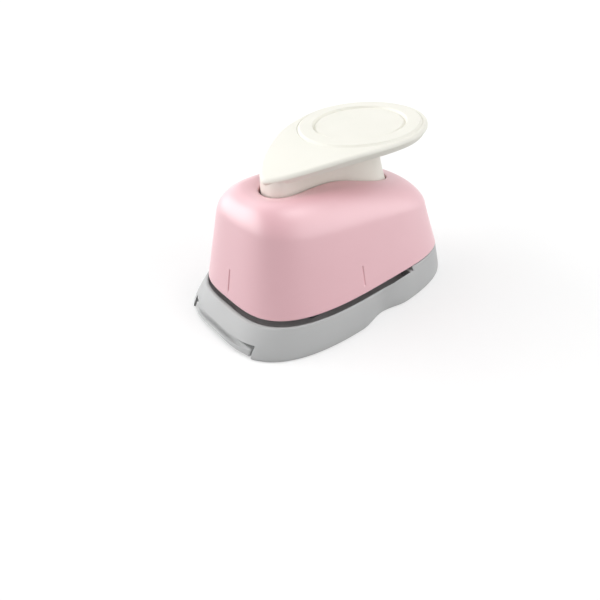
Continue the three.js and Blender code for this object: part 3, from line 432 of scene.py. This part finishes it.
def base_plan(angle, z, inset=0.0):
    """Plan of the base at a height: its foot's outline with a cosine waist on each side, which
    goes over to the housing's outline as the way up to the power 1.3."""
    reaches = BASE_HALF_WIDTH - inset, BASE_FRONT - inset, BASE_REAR - inset
    radius = outline_radius(angle, *reaches, BASE_FRONT_POWER, BASE_REAR_POWER)
    low_x, low_y = radius * np.cos(angle), radius * np.sin(angle)
    t = (low_y - WAIST_Y) / WAIST_HALF_LENGTH
    waist = np.where(np.abs(t) < 1, np.cos(np.pi / 2 * t) ** 2, 0)
    low_x = low_x * (1 - WAIST_DEPTH / BASE_HALF_WIDTH * waist)
    reaches = HOUSING_HALF_WIDTH, HOUSING_FRONT, HOUSING_REAR
    high = outline_radius(angle, *reaches, HOUSING_POWER, HOUSING_POWER)
    high_x, high_y = high * np.cos(angle), HOUSING_MIDDLE_Y + high * np.sin(angle)
    way_up = np.clip((z - BASE_FOOT_RADIUS) / (BASE_TOP_Z - BASE_FOOT_RADIUS), 0, 1)
    share = way_up**BASE_SLOPE_POWER
    return low_x + (high_x - low_x) * share, low_y + (high_y - low_y) * share


def base_rows(angle, heights, insets):
    """Rings of the base at heights, each drawn in along its normal by its own inset."""
    rows = []
    for z, inset in zip(heights, insets):
        x, y = base_plan(angle, z)
        dx, dy = np.gradient(x), np.gradient(y)
        length = np.hypot(dx, dy)
        rows.append(np.stack([x - inset * dy / length, y + inset * dx / length, z + 0 * x], axis=-1))
    return np.array(rows)


def turned(profile, x, y, sides=48):
    """Shell turned about an upright axis, from a list of (radius, height) that runs upwards."""
    angle = np.linspace(0, 2 * np.pi, sides, endpoint=False)
    radius, z = (np.array(profile)[:, axis, None] for axis in (0, 1))
    return skin(np.stack([x + radius * np.cos(angle), y + radius * np.sin(angle), z + 0 * angle], axis=-1))


def extruded(plan, low_z, high_z):
    """Upright prism over a closed plan of points that runs anticlockwise."""
    plan = np.asarray(plan, float)
    rings = np.stack([np.column_stack([plan, np.full(len(plan), z)]) for z in (low_z, high_z)])
    return skin(rings, has_flat_ends=True)


def round_rectangle(low_x, low_y, high_x, high_y, corner, steps=8):
    """Rectangle with a quarter circle at each corner, as points that run anticlockwise."""
    turn = np.linspace(0, np.pi / 2, steps)
    arcs = []
    for k, (x, y) in enumerate([(high_x, high_y), (low_x, high_y), (low_x, low_y), (high_x, low_y)]):
        middle = np.array([x - np.copysign(corner, x - (low_x + high_x) / 2),
                           y - np.copysign(corner, y - (low_y + high_y) / 2)])
        quarter = turn + k * np.pi / 2
        arcs.append(middle + corner * np.stack([np.cos(quarter), np.sin(quarter)], axis=-1))
    return np.concatenate(arcs)


def combine(target, shells, operation="DIFFERENCE"):
    """Cuts closed shells out of a piece, or joins or intersects them, with an exact boolean."""
    tool = piece("tool", shells)
    modifier = target.modifiers.new("cut", "BOOLEAN")
    modifier.operation = operation
    modifier.solver = "EXACT"
    modifier.object = tool
    evaluated = target.evaluated_get(bpy.context.evaluated_depsgraph_get())
    made = bpy.data.meshes.new_from_object(evaluated)
    target.modifiers.clear()
    old, target.data = target.data, made
    bpy.data.meshes.remove(old)
    tool_mesh = tool.data
    bpy.data.objects.remove(tool)
    bpy.data.meshes.remove(tool_mesh)


def smooth_again(target, sharp_from=35):
    """Smooth faces up to an angle, after cuts have made new edges."""
    target.data.shade_smooth()
    target.data.set_sharp_from_angle(angle=np.radians(sharp_from))


# The foot, the slot's rim and the base's top are rounded. The rim is there only where the slot
# is, and fades out over half a millimetre at the slot's end. Above it are three plain rows, which
# stay only behind the slot.
RIM_FADE = 0.5
base_angles = np.linspace(0, 2 * np.pi, 420, endpoint=False)
turn = np.linspace(0, np.pi / 2, 7)
round_in, round_up = 1 - np.cos(turn), 1 - np.sin(turn)
foot_z = BASE_FOOT_RADIUS * round_in
slope_z = np.linspace(BASE_FOOT_RADIUS, SLOT_FLOOR_Z - RIM_FILLET, 22)[1:-1]
slot_rim_z = SLOT_FLOOR_Z - RIM_FILLET * round_up
above_z = np.array([7.06, 7.3, 7.6])
top_rim_z = BASE_TOP_Z - RIM_FILLET * round_up
heights = np.concatenate([foot_z, slope_z, slot_rim_z, above_z, top_rim_z])
slot_inset = np.interp(heights, slot_rim_z, RIM_FILLET * round_in, left=0)
top_inset = np.interp(heights, top_rim_z, RIM_FILLET * round_in, left=0)
foot_inset = np.interp(heights, foot_z, BASE_FOOT_RADIUS * round_up, right=0)
ring_y = base_plan(base_angles, SLOT_FLOOR_Z)[1]
in_slot = np.clip((SLOT_END_Y + 0.1 - ring_y) / RIM_FADE, 0, 1)
insets = foot_inset[:, None] + np.where(in_slot > 0, slot_inset[:, None] * in_slot, 0)
insets = np.maximum(insets, top_inset[:, None])
base = piece("base_moulding", [skin(base_rows(base_angles, heights, insets))])

# The paper slot, which is open at the front and the sides. Its floor is deeper under the housing,
# which keeps the slot dark, and again where the die plate and the guide block are let in.
RECESS_Z, RECESS_END_Y, RECESS_GAP = 5.0, 12.6, 0.2
DIE_SEAT_Z, DIE_SEAT_X, DIE_SEAT_FRONT_Y, DIE_SEAT_REAR_Y, DIE_SEAT_CORNER = 4.8, 16.5, -19.5, 13.5, 2
above_base_z = HOUSING_LOW_Z + OVERRUN
beyond_x, beyond_y = BASE_HALF_WIDTH + OVERRUN, -BASE_FRONT - OVERRUN
slot_plan = round_rectangle(-beyond_x, beyond_y, beyond_x, SLOT_END_Y, 0.02, 2)
combine(base, [extruded(slot_plan, SLOT_FLOOR_Z + 0.01, above_base_z)])
recess_reaches = HOUSING_HALF_WIDTH + RECESS_GAP, HOUSING_FRONT + RECESS_GAP, HOUSING_REAR
recess_radius = outline_radius(base_angles, *recess_reaches, HOUSING_POWER, HOUSING_POWER)
recess_y = np.minimum(HOUSING_MIDDLE_Y + recess_radius * np.sin(base_angles), RECESS_END_Y)
recess_plan = np.column_stack([recess_radius * np.cos(base_angles), recess_y])
combine(base, [extruded(recess_plan, RECESS_Z, above_base_z)])
die_seat = round_rectangle(-DIE_SEAT_X, DIE_SEAT_FRONT_Y, DIE_SEAT_X, DIE_SEAT_REAR_Y, DIE_SEAT_CORNER)
combine(base, [extruded(die_seat, DIE_SEAT_Z, above_base_z)])

# The tray's channel has a ledge on each side, and a wide mouth in the front
DECK_Z, LEDGE_Z = 3.0, 1.3
CHANNEL_X, LEDGE_X = 9.8, 10.8
TRAY_REAR_Y = 4.8
MOUTH_X, MOUTH_REAR_Y, MOUTH_TOP_Z, MOUTH_CORNER = 13.3, -32.5, 3.3, 0.5
profile = np.array([
    (-CHANNEL_X, -OVERRUN), (CHANNEL_X, -OVERRUN), (CHANNEL_X, LEDGE_Z), (LEDGE_X, LEDGE_Z),
    (LEDGE_X, DECK_Z), (-LEDGE_X, DECK_Z), (-LEDGE_X, LEDGE_Z), (-CHANNEL_X, LEDGE_Z),
])
channel_ends = []
for y in (TRAY_REAR_Y + CLEARANCE, beyond_y):
    channel_ends.append(np.column_stack([profile[:, 0], np.full(len(profile), y), profile[:, 1]]))
combine(base, [skin(np.stack(channel_ends), has_flat_ends=True)])
mouth = round_rectangle(-MOUTH_X, beyond_y, MOUTH_X, MOUTH_REAR_Y, MOUTH_CORNER, 4)
combine(base, [extruded(mouth, -OVERRUN, MOUTH_TOP_Z)])

# The discs fall through a chute. Pockets save plastic, and the side ones end just under the deck,
# so that no two cuts share a plane.
CHUTE_RADIUS, CHUTE_TOP_Z = 8.5, 9
POCKET_CORNER = 1.5
REAR_POCKET, REAR_POCKET_TOP_Z = (-8.4, 16.4, 8.4, 31), 5.2
SIDE_POCKETS, SIDE_POCKET_TOP_Z = ((12.6, -9.6, 19.6, 6.4), (-19.6, -9.6, -12.6, 6.4)), 2.999
combine(base, [turned([(CHUTE_RADIUS, 0), (CHUTE_RADIUS, CHUTE_TOP_Z)], 0, CUT_Y)])
pockets = [extruded(round_rectangle(*REAR_POCKET, POCKET_CORNER), -OVERRUN, REAR_POCKET_TOP_Z)]
for pocket in SIDE_POCKETS:
    pockets.append(extruded(round_rectangle(*pocket, POCKET_CORNER), -OVERRUN, SIDE_POCKET_TOP_Z))
combine(base, pockets)

# Screws from below: the housing's, the guide block's and the die plate's. Each hole has the radii
# of its shank and its head, and the height at which the head is seated.
LONG_HOLE, SHORT_HOLE = (1.7, 2.8, 2.7), (1.4, 2.2, 2.3)
GUIDE_SCREW_X, GUIDE_SCREW_Y = 10.6, 10.6
PLATE_SCREW_X, PLATE_SCREW_Y = 13.5, -15.4
HOLE_TOP_Z, HOLE_SIDES = 12, 32
hole_places = (
    (BOSS_X, BOSS_Y, LONG_HOLE), (GUIDE_SCREW_X, GUIDE_SCREW_Y, LONG_HOLE),
    (PLATE_SCREW_X, PLATE_SCREW_Y, SHORT_HOLE),
)
holes = []
for side in (-1, 1):
    for x, y, (shank, head, seat_z) in hole_places:
        profile = [(head, -OVERRUN), (head, seat_z), (shank, seat_z), (shank, HOLE_TOP_Z)]
        holes.append(turned(profile, side * x, y, HOLE_SIDES))
combine(base, holes)
smooth_again(base)
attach(base, "body")
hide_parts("base")

# Satin grey ABS: no sharp reflections, only a soft brighter rim where the form turns upwards
grey_abs = moulded_plastic(
    "light_grey_abs_satin", "#bbbcbc", "#b4b5b5", roughness=0.48, spread=0.05, relief=0.006,
)
base.data.materials.append(grey_abs)


# Disc tray. A shallow grey ABS box that catches the discs. Its runners lie on the base's ledges,
# and its front panel follows the base's slope and closes the mouth. It is moulded in one piece.
PANEL_HALF_WIDTH, PANEL_HALF_HEIGHT, PANEL_MIDDLE_Z = 12.6, 0.9, 1.3
PANEL_CORNER, PANEL_FILLET = 0.35, 0.28
PANEL_WALL = 1.1
PANEL_SET_BACK = 0.4  # from the base's own front face


def base_front_y(x, z, inset):
    """Front face of the base at a place and height: the polar angle is found by halving."""
    low, high = np.full_like(x, -np.pi), np.zeros_like(x)
    for _ in range(HALVINGS):
        middle = (low + high) / 2
        is_left = base_plan(middle, z, inset)[0] < x
        low, high = np.where(is_left, middle, low), np.where(is_left, high, middle)
    return base_plan(low, z, inset)[1]


def panel_row(ring, behind=0.0):
    """Points of a ring (x, z) on the panel's face, or a length behind it."""
    y = base_front_y(ring[:, 0], ring[:, 1], PANEL_SET_BACK) + behind
    return np.column_stack([ring[:, 0], y, ring[:, 1]])


# Rings from the panel's rear edge to its face, round a quarter circle, and inwards over the face
panel_middle = np.array([0, PANEL_MIDDLE_Z])
panel_half = np.array([PANEL_HALF_WIDTH, PANEL_HALF_HEIGHT])
panel = round_rectangle(*(panel_middle - panel_half), *(panel_middle + panel_half), PANEL_CORNER)
panel_rows = [panel_row(panel, PANEL_WALL)]
for turn_back in np.linspace(0, np.pi / 2, 6):
    shrink = 1 - PANEL_FILLET * (1 - np.cos(turn_back)) / panel_half
    ring = panel_middle + (panel - panel_middle) * shrink
    panel_rows.append(panel_row(ring, PANEL_FILLET * (1 - np.sin(turn_back))))
for share in (0.75, 0.5, 0.25):
    panel_rows.append(panel_row(panel_middle + (panel - panel_middle) * share * shrink))


def open_box(outer, inner, low_z, floor_z, high_z):
    """Box without a lid: up the outer walls, over the edge, down the inner walls to the floor."""
    rings = [(outer, low_z), (outer, high_z), (inner, high_z), (inner, floor_z)]
    return skin(np.stack([np.column_stack([plan, np.full(len(plan), z)]) for plan, z in rings]))


# The box, a floor strip that joins it to the panel, and a runner on each side. They overlap, as
# one moulding.
BOX_X, BOX_FRONT_Y, BOX_CORNER = 9.5, -33.2, 0.6
INSIDE_X, INSIDE_FRONT_Y, INSIDE_REAR_Y, INSIDE_CORNER = 8.5, -32.8, 3.8, 0.4
BOX_LOW_Z, BOX_FLOOR_Z, BOX_TOP_Z = 0.4, 1.2, 2.5
STRIP_X, STRIP_FRONT_Y, STRIP_REAR_Y, STRIP_CORNER = 9.4, -35.0, -32.9, 0.3
STRIP_LOW_Z, STRIP_TOP_Z = 0.5, 1.0
RUNNER_INNER_X, RUNNER_OUTER_X, RUNNER_FRONT_Y, RUNNER_CORNER = 9.4, 10.5, -33.1, 0.25
RUNNER_LOW_Z = 1.6
box_outer = round_rectangle(-BOX_X, BOX_FRONT_Y, BOX_X, TRAY_REAR_Y, BOX_CORNER)
box_inner = round_rectangle(-INSIDE_X, INSIDE_FRONT_Y, INSIDE_X, INSIDE_REAR_Y, INSIDE_CORNER)
strip = round_rectangle(-STRIP_X, STRIP_FRONT_Y, STRIP_X, STRIP_REAR_Y, STRIP_CORNER)
tray_shells = [
    skin(np.array(panel_rows)),
    open_box(box_outer, box_inner, BOX_LOW_Z, BOX_FLOOR_Z, BOX_TOP_Z),
    extruded(strip, STRIP_LOW_Z, STRIP_TOP_Z),
]
for side in (-1, 1):
    low_x, high_x = sorted((side * RUNNER_INNER_X, side * RUNNER_OUTER_X))
    runner = round_rectangle(low_x, RUNNER_FRONT_Y, high_x, TRAY_REAR_Y, RUNNER_CORNER)
    tray_shells.append(extruded(runner, RUNNER_LOW_Z, BOX_TOP_Z))
tray = piece("tray_moulding", tray_shells, 35)
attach(tray, "tray")
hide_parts("disc_tray")
tray.data.materials.append(grey_abs)


# Lever. One ivory ABS moulding: a plate with a round pad and a raised ring, a nose that turns on
# the pin, and a hollow skirt that flares to the rear and goes into the housing.
PAD_Y, PAD_RADIUS = 13.2, 18.2
TIP_Y, TIP_DROOP = -19.2, 3.9
KNEE_Y = 2.0
PLATE_TILT = 6.5
SIDE_POWER, TIP_POWER = 1.5, 1.65  # of the plate's outline in front of the pad's middle
SPINE_LEAD, SPINE_FRONT_Y = 3, -12.6
EDGE = 0.95  # round of the plate's upper edge
PLATE_SKIN = 1.7
RIM_DEPTH, RIM_WALL_INSET, RIM_ROUND = 2.5, 1.8, 0.3
SKIN_INSET = 2.3
SIDE_SLOPE = 0.75


def lever_top_z(y):
    """Height of the plate: a straight rise of 6.5 degrees, with a parabolic droop to the nose."""
    droop = TIP_DROOP * (np.minimum(0, y - KNEE_Y) / (KNEE_Y - TIP_Y)) ** 2
    return SKIRT_TOP_Z + np.tan(np.radians(PLATE_TILT)) * (y - KNEE_Y) - droop


def plate_edge(count):
    """Plate's outline, evenly spaced: half a circle behind the pad's middle, and a narrowing
    superellipse in front of it. Returned with its outward directions, which fan out from a spine,
    so that rows drawn in from the edge don't cross at the nose."""
    turn = np.linspace(0, 2 * np.pi, 6000, endpoint=False)
    c, s = np.cos(turn), np.sin(turn)
    x = PAD_RADIUS * np.sign(c) * np.abs(c) ** np.where(s < 0, 2 / SIDE_POWER, 1)
    reach = np.where(s < 0, PAD_Y - TIP_Y, PAD_RADIUS)
    y = PAD_Y + reach * np.sign(s) * np.abs(s) ** np.where(s < 0, 2 / TIP_POWER, 1)
    length = np.concatenate([[0], np.cumsum(np.hypot(np.diff(x, append=x[0]), np.diff(y, append=y[0])))])
    at = np.linspace(0, length[-1], count, endpoint=False)
    x, y = (np.interp(at, length, np.append(v, v[0])) for v in (x, y))
    spine_y = np.clip(y + SPINE_LEAD, SPINE_FRONT_Y, PAD_Y)
    outwards = np.stack([x, y - spine_y], axis=-1)
    return np.stack([x, y], axis=-1), outwards / np.linalg.norm(outwards, axis=1)[:, None]


def plate_row(plan, depth):
    """Points of a plan on the plate, at a depth under its top."""
    return np.column_stack([plan, lever_top_z(plan[:, 1]) - depth])


RING_INNER, RING_OUTER, RING_HEIGHT, RING_SIDE = 12.6, 16.3, 0.4, 0.4
RING_GROOVES = ((12.2, 0.5, 0.3), (16.75, 0.2, 0.14))  # radius, depth and width of each


def ring_height(radius):
    """Height over the plate on the pad: a flat ring with S-shaped sides, less a bell-shaped groove
    inside it and a shallower one outside."""
    sides = np.clip(np.minimum(RING_OUTER - radius, radius - RING_INNER) / RING_SIDE + 0.5, 0, 1)
    grooves = sum(deep * np.exp(-(((radius - at) / wide) ** 2)) for at, deep, wide in RING_GROOVES)
    return RING_HEIGHT * sides**2 * (3 - 2 * sides) - grooves


# Rows from the middle of the plate's underside, over the down-turned rim and its outer side, round
# the upper edge, and inwards over the pad, where they are circles that stand close at the ring
RING_EDGE = 17.1
pad_middle = [0, PAD_Y]
edge, outwards = plate_edge(420)
ray = edge - pad_middle
ray = ray / np.linalg.norm(ray, axis=1)[:, None]
turn = np.linspace(0, np.pi / 2, 7)
plate_rows = []
for share in (0.15, 0.4, 0.7, 1):
    plan = pad_middle + (edge - outwards * SKIN_INSET - pad_middle) * share
    plate_rows.append(plate_row(plan, PLATE_SKIN))
plate_rows.append(plate_row(edge - outwards * RIM_WALL_INSET, RIM_DEPTH))
for round_by in turn:
    plan = edge - outwards * (SIDE_SLOPE + RIM_ROUND * (1 - np.sin(round_by)))
    plate_rows.append(plate_row(plan, RIM_DEPTH - RIM_ROUND * (1 - np.cos(round_by))))
for round_by in turn:
    plan = edge - outwards * EDGE * (1 - np.cos(round_by))
    plate_rows.append(plate_row(plan, EDGE * (1 - np.sin(round_by))))
inner_edge = edge - outwards * EDGE
ring_edge = pad_middle + ray * RING_EDGE
for share in np.linspace(0, 1, 15)[1:]:
    plate_rows.append(plate_row(inner_edge + (ring_edge - inner_edge) * share, 0))
ring_radii = np.concatenate([
    np.linspace(17.05, 16.0, 15), np.linspace(15.7, 13.2, 5),
    np.linspace(13.0, 11.4, 18), np.linspace(10.9, 1.5, 7),
])
for radius, height in zip(ring_radii, ring_height(ring_radii)):
    plate_rows.append(plate_row(pad_middle + ray * radius, -height))

# Side view of the lever under its plate, as (y, z): the nose is round about the pin, and the
# skirt's low edge steps down to a heel at the rear
PIVOT_Y, PIVOT_Z, NOSE_RADIUS = -15.2, 33.4, 3.7
NOSE_FRONT_Y, NOSE_TOP_Z = -17.8, 36.7
CAVITY_FRONT_Y = -11.6
HEEL_Y, HEEL_END_Y, HEEL_Z = 9, 14, 25.8
SKIRT_END_Z = 21.8
SKIRT_SINK = 1.0  # how far the skirt goes up into the plate's skin
CHEEK = 1.6
BEYOND_REAR_Y, BEYOND_LOW_Z, BEYOND_TOP_Z, BEYOND_X = 30, 17, 50, 14  # outside the whole skirt


def skirt_rows(offset, low_z, high_depth):
    """Upright rings of the skirt between a low edge and the plate, flaring downwards: the plan
    and the height of each ring follow from each other, and settle in three rounds."""
    count = 336
    top = closed_curve(SKIRT_TOP, count, offset)
    low = closed_curve(SKIRT_LOW, count, offset)
    rows = []
    for share in np.linspace(0, 1, 26):
        plan = low
        for _ in range(3):
            z = low_z + (lever_top_z(plan[:, 1]) - high_depth - low_z) * share
            plan = top + (low - top) * flare(z)[:, None]
        rows.append(np.column_stack([plan, z]))
    return np.array(rows)


def side_prism(profile, half_width):
    """Prism across the punch over a side view of (y, z) points that runs anticlockwise."""
    profile = np.array(profile)
    sides = [np.column_stack([np.full(len(profile), x), profile]) for x in (-half_width, half_width)]
    return skin(np.stack(sides), has_flat_ends=True)


def arc(y, z, radius, start, end, count, has_end=True):
    """Points (y, z) round a circle in the side view, between two angles in half turns."""
    angles = np.linspace(start * np.pi, end * np.pi, count, endpoint=has_end)
    return [(y + radius * np.cos(t), z + radius * np.sin(t)) for t in angles]


def shells_of(made):
    """Points in millimetres and faces of a made piece, which is then removed."""
    points = np.empty(len(made.data.vertices) * 3)
    made.data.vertices.foreach_get("co", points)
    faces = [list(polygon.vertices) for polygon in made.data.polygons]
    bpy.data.objects.remove(made)
    return points.reshape(-1, 3) / MM, faces


lever = piece("lever_moulding", [skin(skirt_rows(0, SKIRT_END_Z, SKIRT_SINK))])
side_view = arc(PIVOT_Y, PIVOT_Z, NOSE_RADIUS, -1.06, -0.5, 30) + [
    (CAVITY_FRONT_Y, SKIRT_LOW_Z), (HEEL_Y, SKIRT_LOW_Z), (HEEL_END_Y, HEEL_Z), (BEYOND_REAR_Y, HEEL_Z),
    (BEYOND_REAR_Y, BEYOND_TOP_Z), (NOSE_FRONT_Y, BEYOND_TOP_Z), (NOSE_FRONT_Y, NOSE_TOP_Z),
]
combine(lever, [side_prism(side_view, BEYOND_X)], "INTERSECT")
hollow = piece("hollow", [skin(skirt_rows(-CHEEK, SKIRT_END_Z - OVERRUN, PLATE_SKIN))])
room = [
    (CAVITY_FRONT_Y, BEYOND_LOW_Z), (BEYOND_REAR_Y, BEYOND_LOW_Z),
    (BEYOND_REAR_Y, BEYOND_TOP_Z), (CAVITY_FRONT_Y, BEYOND_TOP_Z),
]
combine(hollow, [side_prism(room, BEYOND_X)], "INTERSECT")
combine(lever, [shells_of(hollow)])

# Room in the nose for the bracket's ears and for the pin
EYE_ROOM, EAR_ROOM_X, EAR_ROOM_LOW_Z, EAR_ROOM_REAR_Y = 2.4, 2.9, 25, -11.0
PIN_ROOM, PIN_ROOM_X = 1.4, 4.0
ear_room = [
    (PIVOT_Y - EYE_ROOM, EAR_ROOM_LOW_Z), (EAR_ROOM_REAR_Y, EAR_ROOM_LOW_Z), (EAR_ROOM_REAR_Y, PIVOT_Z),
] + arc(PIVOT_Y, PIVOT_Z, EYE_ROOM, 0, 1, 20)
combine(lever, [side_prism(ear_room, EAR_ROOM_X)])
pin_room = arc(PIVOT_Y, PIVOT_Z, PIN_ROOM, 0, 2, 24, has_end=False)
combine(lever, [side_prism(pin_room, PIN_ROOM_X)])
combine(lever, [skin(np.array(plate_rows))], "UNION")

# The tongue presses the plunger's cap: a cross wall with a round lower edge, up into the plate
TONGUE_RADIUS, TONGUE_X, TONGUE_LOW_Z, TONGUE_TOP_Z = 1.5, 3.9, 25.7, 40.9
tongue = arc(CUT_Y, TONGUE_LOW_Z, TONGUE_RADIUS, -1, 0, 16)
tongue += [(CUT_Y + TONGUE_RADIUS, TONGUE_TOP_Z), (CUT_Y - TONGUE_RADIUS, TONGUE_TOP_Z)]
combine(lever, [side_prism(tongue, TONGUE_X)], "UNION")
smooth_again(lever, 40)
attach(lever, "lever")
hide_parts("lever")

# Satin ivory ABS: close to white in the light, warm grey in the shade
ivory_abs = moulded_plastic(
    "ivory_abs_satin", "#f1efe6", "#ecebe1", roughness=0.44, spread=0.05, relief=0.005,
)
lever.data.materials.append(ivory_abs)


# Works inside. The die plate, spacer, punch, spring, bracket, pin and screws are steel, the guide
# block is a zinc die casting, and the cap on the punch is acetal. Screws hold them on the base.
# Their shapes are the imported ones, and only the finishes are given here.
def worked_metal(name, colour, deep, roughness, spread, stretch, grain, relief):
    """Metal with marks from its making: cells stretched along the tool's way, which vary the
    colour, the gloss and a shallow relief together."""
    material = bpy.data.materials.new(name)
    material.use_nodes = True
    shader = material.node_tree.nodes["Principled BSDF"]
    place = add(material, "ShaderNodeTexCoord").outputs["Object"]
    along = add(material, "ShaderNodeMapping", {"Vector": place, "Scale": stretch})
    marks = add(
        material, "ShaderNodeTexNoise",
        {"Vector": along.outputs[0], "Scale": 1 / (grain * MM), "Detail": 4.0},
    )
    tint = add(
        material, "ShaderNodeMix",
        {0: marks.outputs[0], 6: linear(colour), 7: linear(deep)}, data_type="RGBA",
    )
    gloss = add(
        material, "ShaderNodeMapRange",
        {"Value": marks.outputs[0], "From Min": 0.3, "From Max": 0.7, "To Min": roughness - spread,
         "To Max": roughness + spread},
    )
    bump = add(
        material, "ShaderNodeBump", {"Height": marks.outputs[0], "Strength": 1.0, "Distance": relief * MM},
    )
    links = material.node_tree.links
    links.new(tint.outputs[2], shader.inputs["Base Color"])
    links.new(gloss.outputs[0], shader.inputs["Roughness"])
    links.new(bump.outputs[0], shader.inputs["Normal"])
    shader.inputs["Metallic"].default_value = 1.0
    return material


# Ground steel: fine straight lines and a cool even shine
ground_steel = worked_metal(
    "ground_steel", "#b5b8bc", "#9da0a4",
    roughness=0.28, spread=0.06, stretch=(0.12, 1, 1), grain=0.6, relief=0.004,
)
# Zinc die casting: dull, slightly mottled and softer than the steel
cast_zinc = worked_metal(
    "zinc_die_casting", "#9d9fa2", "#85878b",
    roughness=0.48, spread=0.08, stretch=(1, 1, 1), grain=1.6, relief=0.012,
)
# Drawn spring wire: a darker steel with a faint oil film
spring_wire = worked_metal(
    "drawn_spring_wire", "#8f9297", "#777a80",
    roughness=0.3, spread=0.06, stretch=(1, 1, 0.3), grain=0.8, relief=0.004,
)
# Black acetal cap: dense and slightly waxy
black_acetal = moulded_plastic(
    "black_acetal", "#3d3e40", "#343537", roughness=0.42, spread=0.05, relief=0.004,
)

finishes = {"guide_block": cast_zinc, "return_spring": spring_wire, "plunger_cap": black_acetal}
for name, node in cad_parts.items():
    if name in ("housing", "base", "disc_tray", "lever"):
        continue
    for slot in node.material_slots:
        slot.material = finishes.get(name, ground_steel)


# Floor and light. The floor is white paper that keeps the shadow. To the eye and in reflections it
# is paler and glows a little, so that it looks white, and it gives back less light than that, as a
# floor with dark surroundings does. The studio's walls are white.
FLOOR_HALF_WIDTH, FLOOR_THICKNESS = 4000, 20


def shown_rays(surroundings):
    """Socket that is 1 for the rays that the picture shows, which come from the camera, a gloss or
    glass, and 0 for those that only light other things: the larger of the three kinds of ray."""
    kind = add(surroundings, "ShaderNodeLightPath").outputs
    mirrored = add(
        surroundings, "ShaderNodeMath",
        {0: kind["Is Glossy Ray"], 1: kind["Is Transmission Ray"]}, operation="MAXIMUM",
    )
    shown = add(
        surroundings, "ShaderNodeMath",
        {0: kind["Is Camera Ray"], 1: mirrored.outputs[0]}, operation="MAXIMUM",
    )
    return shown.outputs[0]


floor_plan = round_rectangle(-FLOOR_HALF_WIDTH, -FLOOR_HALF_WIDTH, FLOOR_HALF_WIDTH, FLOOR_HALF_WIDTH, 1, 2)
floor = piece("floor", [extruded(floor_plan, -FLOOR_THICKNESS, 0)])
floor_paint = bpy.data.materials.new("white_paper")
floor_paint.use_nodes = True
floor_shader = floor_paint.node_tree.nodes["Principled BSDF"]
is_shown = shown_rays(floor_paint)
paper = add(
    floor_paint, "ShaderNodeMix", {0: is_shown, 6: linear("#a9a9a9"), 7: linear("#c6c6c6")}, data_type="RGBA",
)
glow = add(floor_paint, "ShaderNodeMapRange", {"Value": is_shown, "To Min": 0.0, "To Max": 0.45})
floor_paint.node_tree.links.new(paper.outputs[2], floor_shader.inputs["Base Color"])
floor_paint.node_tree.links.new(glow.outputs[0], floor_shader.inputs["Emission Strength"])
floor_shader.inputs["Emission Color"].default_value = linear("#ffffff")
floor_shader.inputs["Roughness"].default_value = 0.9
floor_shader.inputs["Specular IOR Level"].default_value = 0.1
floor.data.materials.append(floor_paint)


def soft_sun(name, towards, strength, spread):
    """Even light from far away: spread is the lamp's width in degrees as the object sees it."""
    data = bpy.data.lights.new(name, "SUN")
    data.energy = strength
    data.angle = np.radians(spread)
    lamp = bpy.data.objects.new(name, data)
    lamp.rotation_euler = (-Vector(towards)).to_track_quat("-Z", "Y").to_euler()
    bpy.context.scene.collection.objects.link(lamp)


# Five wide soft lamps. The low ones in front on the left and at the right light the walls, and the
# high ones and the left one put the soft highlights on the crown and the shoulder.
soft_sun("overhead", (0.3, 0.25, 0.92), strength=0.8, spread=30)
soft_sun("upper_left", (-0.5, 0.1, 0.85), strength=0.38, spread=40)
soft_sun("left", (-0.97, -0.2, 0.12), strength=0.8, spread=75)
soft_sun("front_left", (-0.64, -0.74, 0.2), strength=2.95, spread=75)
soft_sun("right", (0.84, 0.5, 0.16), strength=2.05, spread=80)

world = bpy.data.worlds.new("studio")
world.use_nodes = True
bpy.context.scene.world = world
walls = world.node_tree.nodes["Background"]
walls.inputs["Color"].default_value = linear("#ffffff")
level = add(world, "ShaderNodeMapRange", {"Value": shown_rays(world), "To Min": 0.25, "To Max": 1.0})
world.node_tree.links.new(level.outputs[0], walls.inputs["Strength"])
bpy.context.scene.view_settings.view_transform = "Standard"
